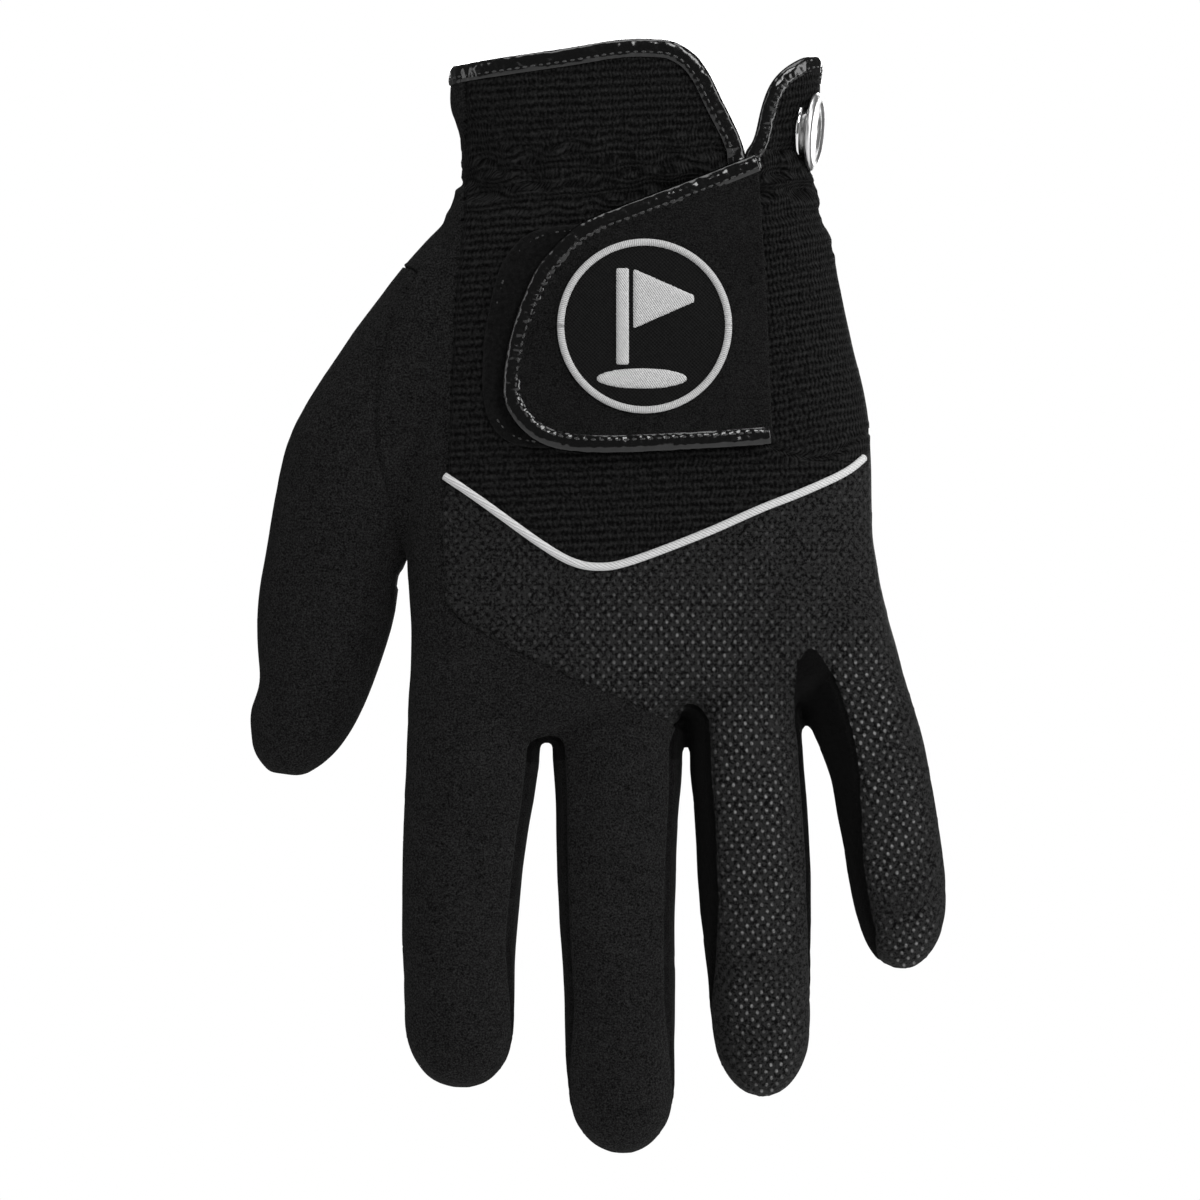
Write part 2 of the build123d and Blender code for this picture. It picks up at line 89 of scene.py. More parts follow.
world = bpy.data.worlds.new("studio")
scene.world = world
world.use_nodes = True
tree = world.node_tree
tree.nodes.clear()
out = tree.nodes.new("ShaderNodeOutputWorld")
seen = tree.nodes.new("ShaderNodeBackground")
seen.inputs["Color"].default_value = (1, 1, 1, 1)
seen.inputs["Strength"].default_value = 1.0
lit = tree.nodes.new("ShaderNodeBackground")
lit.inputs["Color"].default_value = (1, 1, 1, 1)
lit.inputs["Strength"].default_value = 0.13
rays = tree.nodes.new("ShaderNodeLightPath")
choose = tree.nodes.new("ShaderNodeMixShader")
tree.links.new(rays.outputs["Is Camera Ray"], choose.inputs["Fac"])
tree.links.new(lit.outputs[0], choose.inputs[1])
tree.links.new(seen.outputs[0], choose.inputs[2])
tree.links.new(choose.outputs[0], out.inputs["Surface"])


# ---------------------------------------------------------------- small helpers
def hermite(xs, ys, x):
    """Smooth curve through (xs, ys) that doesn't overshoot, read at x. xs goes up."""
    xs, ys, x = (np.asarray(v, dtype=float) for v in (xs, ys, x))
    step = np.diff(xs)
    slope = np.diff(ys) / step
    tangent = np.zeros(len(xs))
    tangent[1:-1] = np.where(slope[1:] * slope[:-1] > 0,
                             2 * slope[1:] * slope[:-1] / (slope[1:] + slope[:-1] + 1e-12), 0)
    tangent[0], tangent[-1] = slope[0], slope[-1]
    i = np.clip(np.searchsorted(xs, x) - 1, 0, len(xs) - 2)
    t = np.clip((x - xs[i]) / step[i], 0, 1)
    h = step[i]
    return ((2 * t ** 3 - 3 * t ** 2 + 1) * ys[i] + (t ** 3 - 2 * t ** 2 + t) * h * tangent[i]
            + (-2 * t ** 3 + 3 * t ** 2) * ys[i + 1] + (t ** 3 - t ** 2) * h * tangent[i + 1])


def smooth(x, a, b):
    """0 before a, 1 after b, smooth between them."""
    t = np.clip((np.asarray(x, dtype=float) - a) / (b - a), 0, 1)
    return t * t * (3 - 2 * t)


def waves(p, length, seed, count=7, stretch=(1, 1, 1)):
    """Smooth noise of about +-1 with the given wavelength."""
    rng = np.random.default_rng(seed)
    total = np.zeros(len(p))
    for _ in range(count):
        direction = rng.normal(size=3)
        direction /= np.linalg.norm(direction)
        k = direction * np.asarray(stretch) * 2 * math.pi / (length * rng.uniform(0.75, 1.35))
        total += np.sin(p @ k + rng.uniform(0, 2 * math.pi))
    return total / math.sqrt(count / 2) / 1.6


def line_distance(points, line):
    """Distance of 2-D points from a 2-D polyline, signed: positive to the left of its direction."""
    best = np.full(len(points), 1e9)
    signed = np.zeros(len(points))
    line = np.asarray(line, dtype=float)
    for a, b in zip(line[:-1], line[1:]):
        d = b - a
        t = np.clip(((points - a) @ d) / (d @ d), 0, 1)
        off = points - (a + t[:, None] * d)
        dist = np.hypot(off[:, 0], off[:, 1])
        side = np.sign(d[0] * (points[:, 1] - a[1]) - d[1] * (points[:, 0] - a[0]))
        closer = dist < best
        best[closer] = dist[closer]
        signed[closer] = (dist * side)[closer]
    return signed


def rounded(line, count=200):
    """A smooth curve through a few 2-D or 3-D points, evenly spaced."""
    line = np.asarray(line, dtype=float)
    n = len(line)
    fine = []
    for i in range(n - 1):
        a, b, c, d = line[max(i - 1, 0)], line[i], line[i + 1], line[min(i + 2, n - 1)]
        for t in np.linspace(0, 1, 16, endpoint=False):
            fine.append(0.5 * (2 * b + (c - a) * t + (2 * a - 5 * b + 4 * c - d) * t * t
                               + (3 * b - a - 3 * c + d) * t ** 3))
    fine.append(line[-1])
    return resample(np.array(fine), count)


def resample(path, count):
    """A path of count evenly spaced points along the given one."""
    step = np.linalg.norm(np.diff(path, axis=0), axis=1)
    along = np.concatenate([[0], np.cumsum(step)])
    t = np.linspace(0, along[-1], count)
    return np.stack([np.interp(t, along, path[:, k]) for k in range(path.shape[1])], axis=1)


def path_length(path):
    """Length of a path."""
    return float(np.linalg.norm(np.diff(path, axis=0), axis=1).sum())


def inside(points, outline):
    """Whether 2-D points lie inside a closed outline."""
    x, z = points[:, 0], points[:, 1]
    hit = np.zeros(len(points), dtype=bool)
    outline = np.asarray(outline)
    for (x0, z0), (x1, z1) in zip(outline, np.roll(outline, -1, axis=0)):
        crosses = (z0 > z) != (z1 > z)
        hit ^= crosses & (x < (x1 - x0) * (z - z0) / (z1 - z0 + 1e-12) + x0)
    return hit


def outline_distance(points, outline):
    """Distance inside a closed outline, negative outside it."""
    dist = np.abs(line_distance(points, np.vstack([outline, outline[:1]])))
    return np.where(inside(points, outline), dist, -dist)


# ---------------------------------------------------------------- the hand's form
# z, left, right, back depth, palm depth, squareness, centre shift towards the palm
HAND = [
    (10.0, -40.9, 39.2, 14.0, 16.0, 2.9, 0.5), (-1.0, -40.6, 38.9, 13.8, 15.4, 2.9, 0.4),
    (-8.6, -40.8, 38.6, 13.4, 14.6, 2.9, 0.0), (-17.0, -38.2, 36.4, 13.0, 14.2, 2.9, 0.0),
    (-25.7, -38.1, 37.4, 12.8, 14.2, 2.8, 0.0), (-32.0, -41.4, 38.8, 13.6, 15.4, 2.7, 0.0),
    (-38.6, -43.0, 41.2, 14.8, 17.2, 2.6, 0.2), (-47.1, -45.5, 42.7, 15.8, 18.8, 2.5, 0.4),
    (-60.0, -48.5, 45.5, 16.6, 20.2, 2.45, 0.6), (-75.0, -50.2, 48.9, 16.9, 20.2, 2.45, 0.6),
    (-90.0, -50.7, 49.9, 16.4, 18.6, 2.45, 0.4), (-105.0, -50.1, 50.1, 15.4, 16.4, 2.45, 0.2),
    (-116.0, -49.4, 51.0, 14.4, 14.8, 2.5, 0.0), (-126.0, -49.9, 52.3, 13.2, 13.4, 2.55, 0.0),
    (-138.0, -50.3, 54.8, 12.2, 12.2, 2.6, 0.0),
]
FOOT_X = [-54, -36, -20, 10, 28, 37, 58]
FOOT_Z = [-151.0, -147.5, -146.6, -139.6, -139.0, -137.5, -121.5]
FOOT_BASE = -138.0

# root: x and z of the knuckle; lean: degrees towards the little finger; zones: where the gussets start and end
# rows: distance down the finger, half width, half depth, shift to the side, shift to the palm
# front: how far each side strip turns round to the back (0 is the finger's side, 1 the middle of its back),
# left as a table down the finger and right as one value; sides: whether a strip on the left and on the right
# turns round to the palm; fade: where the strips narrow, from the fingertip
FINGERS = {
    "index": {
        "root": (-35.9, -147.0), "lean": -2.4, "zones": (3.0, 20.0, 28.0, 49.0),
        "rows": [(-16, 14.0, 11.0, 0, 0), (0, 14.3, 10.9, 0, 0), (10, 14.0, 10.5, -0.4, 0.2),
                 (20, 13.4, 10.2, -0.9, 0.6), (28, 13.0, 10.0, -1.2, 1.0), (38, 12.5, 9.7, -1.2, 1.8),
                 (49, 12.1, 9.4, -0.9, 3.0), (58, 11.9, 9.1, -0.5, 4.3), (64, 11.3, 8.8, -0.3, 5.3),
                 (68.5, 9.8, 8.1, 0, 6.1), (71.6, 7.4, 6.5, 0, 6.6),
                 (73.4, 4.6, 4.3, 0, 6.9), (74.2, 1.8, 1.9, 0, 7.0)],
        "front": ([(0, 0.0)], 0.39), "sides": (False, True), "fade": (10, 22)},
    "middle": {
        "root": (-4.8, -147.0), "lean": 0.6, "zones": (3.0, 20.0, 35.0, 57.0),
        "rows": [(-18, 13.6, 11.4, 0, 0), (0, 13.8, 11.1, -0.1, 0), (10, 13.5, 10.7, 0, 0.2),
                 (20, 13.2, 10.4, -0.3, 0.6), (35, 12.7, 10.1, -0.5, 1.4), (46, 12.3, 9.8, -0.4, 2.3),
                 (57, 12.0, 9.5, -0.3, 3.5), (68, 11.8, 9.2, -0.1, 4.9), (76, 11.2, 8.9, 0, 6.0),
                 (81.5, 9.8, 8.1, 0, 6.9), (85.3, 7.2, 6.4, 0, 7.5),
                 (87.4, 4.4, 4.2, 0, 7.8), (88.4, 1.7, 1.8, 0, 8.0)],
        "front": ([(0, 0.39)], 0.39), "sides": (True, True), "fade": (10, 22)},
    "ring": {
        "root": (22.2, -141.0), "lean": 3.5, "zones": (3.0, 20.0, 32.0, 53.0),
        "rows": [(-18, 11.8, 11.0, 0, 0), (0, 11.9, 10.7, 0.2, 0), (10, 12.2, 10.2, 0.3, 0.2),
                 (20, 12.3, 9.9, 0.3, 0.6), (32, 12.3, 9.5, 0.2, 1.2), (42, 12.0, 9.2, 0.2, 2.0),
                 (53, 11.2, 8.8, 0.3, 3.2), (62, 10.8, 8.5, 0, 4.4), (70, 10.2, 8.2, 0, 5.5),
                 (75.2, 8.8, 7.5, 0, 6.2), (79, 6.4, 5.8, 0, 6.7),
                 (81.2, 3.9, 3.8, 0, 7.0), (82.3, 1.5, 1.6, 0, 7.2)],
        "front": ([(0, 0.55)], 0.27), "sides": (True, True), "fade": (20, 24)},
    "little": {
        "root": (44.9, -129.6), "lean": 11.5, "zones": (3.0, 18.0, 25.0, 44.0),
        "rows": [(-14, 10.5, 10.0, -0.9, 0), (0, 11.3, 9.6, -0.3, 0), (9, 11.35, 9.2, 0.35, 0.2),
                 (18, 10.8, 8.9, 1.5, 0.5), (25, 10.35, 8.6, 2.05, 1.0), (34, 10.4, 8.3, 1.9, 1.8),
                 (44, 10.4, 8.0, 1.5, 3.0), (51, 10.0, 7.8, 1.1, 4.0), (57, 9.2, 7.4, 0.7, 4.9),
                 (61, 7.9, 6.7, 0.3, 5.5), (64.2, 5.7, 5.2, 0, 6.0),
                 (66, 3.5, 3.4, 0, 6.3), (66.9, 1.4, 1.5, 0, 6.5)],
        "front": ([(0, 0.75), (5, 0.81), (11, 0.82), (17, 0.78), (28, 0.65), (42, 0.53), (56, 0.50)], 0.0),
        "sides": (True, False), "fade": (3, 6)},
}
# thumb: left x, left z, right x, right z, half depth, centre y
THUMB = [
    (-42.0, -34.0, -22.0, -52.0, 9.0, 1.5), (-50.5, -43.0, -26.0, -62.0, 11.6, 2.4),
    (-65.4, -63.0, -34.0, -80.0, 13.6, 4.4), (-76.6, -83.0, -44.0, -97.0, 13.8, 6.4),
    (-80.9, -104.6, -51.6, -109.4, 12.4, 8.0), (-82.6, -113.8, -53.0, -118.6, 12.0, 8.8),
    (-83.1, -122.6, -55.4, -127.1, 11.4, 9.6), (-82.5, -132.4, -58.6, -135.6, 10.6, 10.4),
    (-84.6, -141.0, -63.0, -144.4, 9.6, 11.0), (-84.2, -147.2, -67.0, -149.4, 7.9, 11.4),
    (-82.0, -151.4, -71.4, -152.8, 5.4, 11.6), (-79.6, -153.6, -74.6, -154.2, 2.6, 11.7),
]
THUMB_ZONE = (np.array([-66.2, 8.0, -107.0]), np.array([-69.2, 9.6, -124.8]))


def power(value, exponent):
    """A power that keeps the sign."""
    return np.sign(value) * np.abs(value) ** exponent


def foot_shape(x):
    """How far the hand's foot lies from its base height at x."""
    return np.interp(x, FOOT_X, FOOT_Z) - FOOT_BASE


def hand_row(z):
    """left, right, back depth, palm depth, squareness and shift at height z."""
    rows = np.array(HAND)[::-1]
    return [hermite(rows[:, 0], rows[:, k], z) for k in range(1, 7)]


def ring_mesh(rings):
    """Vertices and faces of a closed tube through rings of equal length."""
    count = len(rings[0])
    verts = np.vstack(rings + [rings[0].mean(axis=0)[None], rings[-1].mean(axis=0)[None]])
    faces = []
    for i in range(len(rings) - 1):
        for j in range(count):
            k = (j + 1) % count
            faces.append((i * count + j, i * count + k, (i + 1) * count + k, (i + 1) * count + j))
    top, foot = len(verts) - 2, len(verts) - 1
    last = (len(rings) - 1) * count
    for j in range(count):
        k = (j + 1) % count
        faces.append((top, k, j))
        faces.append((foot, last + j, last + k))
    return verts, faces


ANGLES = np.linspace(0, 2 * math.pi, 64, endpoint=False)


def hand_limb():
    """The hand and wrist as one closed tube."""
    rings = []
    heights = list(np.arange(9.0, -130.0, -2.5)) + [-130 - 8 * math.sin(a) for a in np.linspace(0, 1.45, 7)]
    for z in heights:
        left, right, back, palm, square, shift = hand_row(z)
        past = min(1.0, max(0.0, (-130 - z) / 8))
        keep = math.sqrt(max(0.0, 1 - past ** 2)) * 0.9 + 0.1
        half = (right - left) / 2 - 3.0 * (1 - keep)
        u = half * power(np.cos(ANGLES), 2 / square)
        v = np.where(np.sin(ANGLES) > 0, palm, back) * keep * power(np.sin(ANGLES), 2 / square) + shift
        x = (left + right) / 2 + u
        rings.append(np.stack([x, v, z + smooth(z, -80, -136) * foot_shape(x)], axis=1))
    return ring_mesh(rings)


def finger_axes(name):
    """Root, direction along and direction across."""
    x, z = FINGERS[name]["root"]
    lean = math.radians(FINGERS[name]["lean"])
    return (np.array([x, 0, z]), np.array([math.sin(lean), 0, -math.cos(lean)]),
            np.array([math.cos(lean), 0, math.sin(lean)]))


def finger_row(name, s):
    """half width, half depth, sideways shift and palm shift at s."""
    rows = np.array(FINGERS[name]["rows"])
    return [hermite(rows[:, 0], rows[:, k], s) for k in range(1, 5)]


def finger_limb(name):
    """One finger as a closed tube with a rounded tip."""
    root, along, across = finger_axes(name)
    rows = FINGERS[name]["rows"]
    stations = sorted(set(np.arange(rows[0][0], rows[-5][0], 2.0)) | {r[0] for r in rows[-5:]}
                      | {(a[0] + b[0]) / 2 for a, b in zip(rows[-5:], rows[-4:])})
    rings = []
    for s in stations:
        a, b, side, palm = finger_row(name, s)
        u = a * power(np.cos(ANGLES), 2 / 2.25) + side
        v = b * power(np.sin(ANGLES), 2 / 2.25) + palm
        rings.append(root + along * s + across * u[:, None] + np.array([0, 1, 0]) * v[:, None])
    return ring_mesh(rings)


def thumb_limb():
    """The thumb and its mound as a closed tube."""
    rows = np.array(THUMB)
    t_in = np.arange(len(rows))
    rings = []
    for t in np.concatenate([np.arange(0, 8, 0.25), np.arange(8, 11.01, 0.34)]):
        lx, lz, rx, rz, depth, centre_y = (hermite(t_in, rows[:, k], t) for k in range(6))
        half = math.hypot(rx - lx, rz - lz) / 2
        across = np.array([(rx - lx), 0, (rz - lz)]) / (2 * half)
        u = half * power(np.cos(ANGLES), 2 / 2.2)
        v = depth * power(np.sin(ANGLES), 2 / 2.2)
        centre = np.array([(lx + rx) / 2, centre_y, (lz + rz) / 2])
        rings.append(centre + across * u[:, None] + np.array([0, 1, 0]) * v[:, None])
    return ring_mesh(rings)


def mesh_from(name, verts, faces):
    """A Blender mesh from mm arrays."""
    mesh = bpy.data.meshes.new(name)
    mesh.from_pydata([tuple(v) for v in np.asarray(verts) * MM], [], faces)
    return mesh


def arrays(mesh):
    """A mesh's vertices in mm and its faces."""
    verts = np.empty(len(mesh.vertices) * 3)
    mesh.vertices.foreach_get("co", verts)
    return verts.reshape(-1, 3) / MM, [tuple(p.vertices) for p in mesh.polygons]


def merged_skin():
    """The limbs grown together into one skin."""
    verts, faces, base = [], [], 0
    for part in [hand_limb(), thumb_limb()] + [finger_limb(f) for f in FINGERS]:
        verts.append(part[0])
        faces += [tuple(i + base for i in f) for f in part[1]]
        base += len(part[0])
    obj = bpy.data.objects.new("raw_skin", mesh_from("raw_skin", np.vstack(verts), faces))
    scene.collection.objects.link(obj)
    remesh = obj.modifiers.new("remesh", "REMESH")
    remesh.mode = "VOXEL"
    remesh.voxel_size = 1.0 * MM
    graph = bpy.context.evaluated_depsgraph_get()
    mesh = bpy.data.meshes.new_from_object(obj.evaluated_get(graph))
    result = arrays(mesh)
    bpy.data.objects.remove(obj)
    bpy.data.meshes.remove(mesh)
    return result


def edges_of(faces):
    """Every edge once, as pairs of vertex numbers."""
    pairs = np.array([(a, b) for f in faces for a, b in zip(f, f[1:] + f[:1])])
    return np.unique(np.sort(pairs, axis=1), axis=0)


def relax(verts, faces, rounds):
    """Smooths the skin without shrinking it."""
    e = edges_of(faces)
    degree = np.bincount(e.ravel(), minlength=len(verts))[:, None].astype(float)
    for _ in range(rounds):
        for factor in (0.55, -0.565):
            total = np.zeros_like(verts)
            for k in range(3):
                total[:, k] = (np.bincount(e[:, 0], verts[e[:, 1], k], len(verts))
                               + np.bincount(e[:, 1], verts[e[:, 0], k], len(verts)))
            verts = verts + factor * (total / degree - verts)
    return verts


def vertex_normals(verts, faces):
    """Unit normals, weighted by face area."""
    normal = np.zeros_like(verts)
    for size in {len(f) for f in faces}:
        f = np.array([g for g in faces if len(g) == size])
        n = np.zeros((len(f), 3))
        for k in range(1, size - 1):
            n += np.cross(verts[f[:, k]] - verts[f[:, 0]], verts[f[:, k + 1]] - verts[f[:, 0]])
        for k in range(size):
            for axis in range(3):
                normal[:, axis] += np.bincount(f[:, k], n[:, axis], len(verts))
    return normal / np.maximum(np.linalg.norm(normal, axis=1), 1e-9)[:, None]


# ---------------------------------------------------------------- seams, as seen from the front
CUFF_TOP = [(-46.0, -1.6), (-40.3, -0.9), (-17.1, 2.1), (-0.4, 4.3), (5.4, 4.1), (10.7, 1.7), (13.9, -2.1),
            (17.1, -8.6), (20.4, -15.0), (22.2, -19.7)]
WING_TOP = [(22.3, -19.7), (23.6, -18.9), (24.9, -17.1), (25.9, -12.9),
            (26.9, -8.6), (28.9, -4.3), (32.3, -1.1), (36.4, 0.9), (40.0, 1.4), (46.0, 1.4)]
SLIT = [(22.3, -19.0), (24.2, -40.0), (25.4, -60.0), (26.4, -82.0)]
WING_FOOT = [(26.4, -82.0), (29.8, -83.6), (34.3, -84.9), (40.7, -84.7), (46.1, -81.6),
             (49.9, -79.0), (58.0, -76.0)]
BACK_LEFT = [(-37.4, 12.0), (-37.7, -26.8), (-38.8, -40.7), (-39.6, -51.4), (-40.7, -72.9), (-41.6, -89.2),
             (-42.6, -97.0), (-42.1, -113.0), (-41.6, -116.5), (-38.8, -119.8)]
PIPING = [(-41.8, -89.2), (-34.3, -94.3), (-21.4, -103.6), (-14.4, -107.6), (-8.6, -108.6), (-2.0, -107.4),
          (12.9, -101.8), (25.7, -96.2), (34.3, -92.8), (42.9, -88.9), (47.1, -86.0), (50.6, -82.4)]
KNUCKLE_LOW = [(-38.8, -119.8), (-26.1, -127.1), (-11.4, -133.7), (0.0, -138.6), (9.6, -143.4)]
THUMB_SEAM_Z = [-175, -160, -126, -112, -108, -94.8, -91, -83, -71.5, -63.6, -54.4, -45, -40]
THUMB_SEAM_X = [-90, -60, -53.4, -52.0, -51.4, -53.4, -54.4, -56.7, -56.7, -55.5, -52.8, -47.9, -60]
# Outlines of the dark arches where the fingers part, seen from the front; the skin inside them gets the
# painted-shade suede.
ARCHES = [[(33.2, -146.0), (33.2, -134.0), (34.2, -128.6), (36.4, -126.0), (38.6, -127.6), (40.6, -130.8),
           (42.8, -134.6), (44.6, -141.0), (45.0, -146.0)],
          [(8.0, -152.0), (7.9, -144.0), (8.8, -140.4), (10.4, -138.8), (12.4, -139.6), (14.0, -143.0),
           (14.4, -152.0)]]
PALM_EDGE = [(-60.0, -1.0), (-39.0, -1.2), (-30.0, -4.8), (-18.0, -12.4), (-6.0, -18.8), (6.0, -22.2),
             (18.0, -23.0), (25.0, -20.8), (30.0, -14.0), (34.0, -6.4), (38.0, -1.0), (60.0, 0.0)]
SIDE_SEAM_Y = 1.5
HALF_SLIT = 0.45
GROOVE_DEPTH, GROOVE_WIDTH = 0.6, 0.8


def front(p):
    """Whether points lie on the back of the hand."""
    return p[:, 1] < 0


def on_line(line):
    """A field that is zero along a front-view line."""
    fine = rounded(line, 120)
    return lambda p: line_distance(p[:, [0, 2]], fine)


def top_height(p):
    """Height of the glove's open edge at a point: cuff or wing in front, straight at the rear."""
    x = p[:, 0]
    cuff = hermite([q[0] for q in CUFF_TOP], [q[1] for q in CUFF_TOP], x)
    wing = hermite([q[0] for q in WING_TOP], [q[1] for q in WING_TOP], x)
    ahead = np.where(x < 22.25, cuff, wing) - 0.6
    rear = hermite([q[0] for q in PALM_EDGE], [q[1] for q in PALM_EDGE], x) - 0.6
    return ahead + (rear - ahead) * smooth(p[:, 1], -4.0, 4.0)


def finger_local(p, name):
    """s along the finger, u and v across it as shares of its half width and half depth."""
    root, along, across = finger_axes(name)
    s = (p - root) @ along
    a, b, side, palm = finger_row(name, np.clip(s, FINGERS[name]["rows"][0][0], FINGERS[name]["rows"][-1][0]))
    u = ((p - root) @ across - side) / a
    v = (p[:, 1] - palm) / b
    return s, u, v, a, b


def owner(p):
    """Index of the finger each point is nearest to, sideways."""
    return np.argmin([np.abs(finger_local(p, f)[1]) for f in FINGERS], axis=0)


def thumb_side(p):
    """Below zero on the thumb."""
    seam = np.interp(p[:, 2], THUMB_SEAM_Z, THUMB_SEAM_X)
    mound = 22.0 * smooth(p[:, 1], -4, 15) * np.clip(np.sin(np.pi * np.clip((-p[:, 2] - 44) / 66, 0, 1)), 0, 1)
    return p[:, 0] - seam - mound


def side_limits(p, name):
    """Turn round a finger (0 at its side, 1 on its back), and how far its side strips reach."""
    s, u, v, _, b = finger_local(p, name)
    left, right = FINGERS[name]["front"]
    length = FINGERS[name]["rows"][-1][0]
    root = np.sqrt(np.clip((s + 7) / 7, 0, 1))
    stop, run = FINGERS[name]["fade"]
    narrowing = root * np.sqrt(np.clip((length - stop - s) / run, 0, 1))
    ahead = np.where(u < 0, np.interp(s, *zip(*left)), right) * narrowing
    fade = root * np.sqrt(np.clip((length - 9 - s) / 20, 0, 1))
    behind = np.where(np.where(u < 0, *FINGERS[name]["sides"]), 0.27, 0.0) * fade
    return s, u, np.arctan2(-v, np.abs(u)) / (math.pi / 2), b, ahead, behind


def cut(bm, field, where=None, snap=0.16):
    """Divides the skin's faces along the line where field is zero."""
    bm.verts.index_update()
    bm.verts.ensure_lookup_table()
    bm.edges.ensure_lookup_table()
    p = np.array([v.co for v in bm.verts])
    mask = np.ones(len(p), dtype=bool) if where is None else where(p)
    f = np.ones(len(p))
    f[mask] = field(p[mask])
    near = np.nonzero(mask & (np.abs(f) < snap))[0]
    if len(near):
        q = p[near]
        grad = np.stack([(field(q + d) - field(q - d)) / 0.1 for d in np.eye(3) * 0.05], axis=1)
        move = -f[near, None] * grad / np.maximum((grad ** 2).sum(axis=1), 0.2)[:, None]
        for i, m in zip(near, np.clip(move, -0.3, 0.3)):
            bm.verts[i].co += Vector(m)
        f[near] = 0.0
    on = {bm.verts[i] for i in near}
    ends = np.array([(e.verts[0].index, e.verts[1].index) for e in bm.edges])
    crossing = mask[ends].all(axis=1) & (f[ends[:, 0]] * f[ends[:, 1]] < 0)
    for i, e in [(i, bm.edges[i]) for i in np.nonzero(crossing)[0]]:
        a = f[ends[i, 0]]
        b = f[ends[i, 1]]
        start = e.verts[0]
        share = a / (a - b) if start.index == ends[i, 0] else b / (b - a)
        on.add(bmesh.utils.edge_split(e, start, share)[1])
    touched = {face for v in on for face in v.link_faces}
    for face in touched:
        todo = [face]
        while todo:
            g = todo.pop()
            ring = list(g.verts)
            marks = [i for i, v in enumerate(ring) if v in on]
            pairs = ((i, j) for i in marks for j in marks if j > i + 1 and (i, j) != (0, len(ring) - 1))
            for i, j in pairs:
                made = bmesh.utils.face_split(g, ring[i], ring[j])[0]
                if made is not None:
                    todo += [g, made]
                    break


def seam_fields():
    """name: (field, where) for every line that divides the skin."""
    fields = {
        "top": (lambda p: p[:, 2] - top_height(p), None),
        "slit_left": (lambda p: line_distance(p[:, [0, 2]], SLIT) + HALF_SLIT,
                      lambda p: front(p) & (p[:, 2] > -84)),
        "slit_right": (lambda p: line_distance(p[:, [0, 2]], SLIT) - HALF_SLIT,
                       lambda p: front(p) & (p[:, 2] > -84)),
        "wing_foot": (on_line(WING_FOOT),
                      lambda p: (p[:, 1] < SIDE_SEAM_Y + 1) & (p[:, 0] > 26.1) & (p[:, 2] < -70)),
        "back_left": (on_line(BACK_LEFT), lambda p: front(p) & (p[:, 2] > -120.6)),
        "piping": (on_line(PIPING), lambda p: (p[:, 1] < SIDE_SEAM_Y + 1) & (p[:, 0] > -42.6)),
        "knuckle": (on_line(KNUCKLE_LOW), lambda p: front(p) & (p[:, 0] > -39.6) & (p[:, 0] < 10.6)),
        "side": (lambda p: p[:, 1] - SIDE_SEAM_Y,
                 lambda p: (p[:, 0] > 25) & (finger_local(p, "little")[0] < 4)),
        "thumb": (thumb_side, lambda p: (p[:, 0] < -20) & (p[:, 2] < -41) & (p[:, 2] > -113)),
    }
    for k, arch in enumerate(ARCHES):
        middle = arch[3][0]
        fields[f"arch_{k}"] = (on_line(arch), lambda p, m=middle: (p[:, 1] < 4) & (np.abs(p[:, 0] - m) < 9)
                               & (p[:, 2] > -147))
    for i, name in enumerate(FINGERS):
        z = FINGERS[name]["zones"]
        fields[name + "_root"] = (lambda p, n=name, z=z: finger_local(p, n)[0] - z[0],
                                  lambda p, i=i, n=name: (owner(p) == i) & (p[:, 0] > -56)
                                  & (np.abs(finger_local(p, n)[1]) < 1.15))
        fields[name + "_mid"] = (lambda p, n=name, z=z: finger_local(p, n)[0] - z[2],
                                 lambda p, i=i: owner(p) == i)

        def ahead(p, n=name):
            _, _, turn, b, a, _ = side_limits(p, n)
            return (a - turn) * b * 1.5

        def behind(p, n=name):
            _, _, turn, b, _, a = side_limits(p, n)
            return (-turn - a) * b * 1.5

        def near(p, i=i, n=name):
            s, u = finger_local(p, n)[:2]
            web = (np.abs(u) > 0.12) | (s > FINGERS[n]["rows"][-1][0] - 16)
            return (owner(p) == i) & (s > -7.5) & web & (p[:, 0] > -53)
        first = 1.0 if name == "little" else -7.5
        fields[name + "_ahead"] = (ahead, lambda p, f=near, n=name, s=first: f(p) & (finger_local(p, n)[0] > s))
        fields[name + "_behind"] = (behind, near)
    axis = THUMB_ZONE[1] - THUMB_ZONE[0]
    axis = axis / np.linalg.norm(axis)
    fields["thumb_root"] = (lambda p: (p - THUMB_ZONE[0]) @ axis, lambda p: (p[:, 0] < -51.8) & (p[:, 2] < -98))
    fields["thumb_mid"] = (lambda p: p[:, 1] - np.interp(p[:, 2], [-154, -107], [13.0, 9.0]),
                           lambda p: (p[:, 0] < -52.5) & ((p - THUMB_ZONE[0]) @ axis > -1))
    return fields


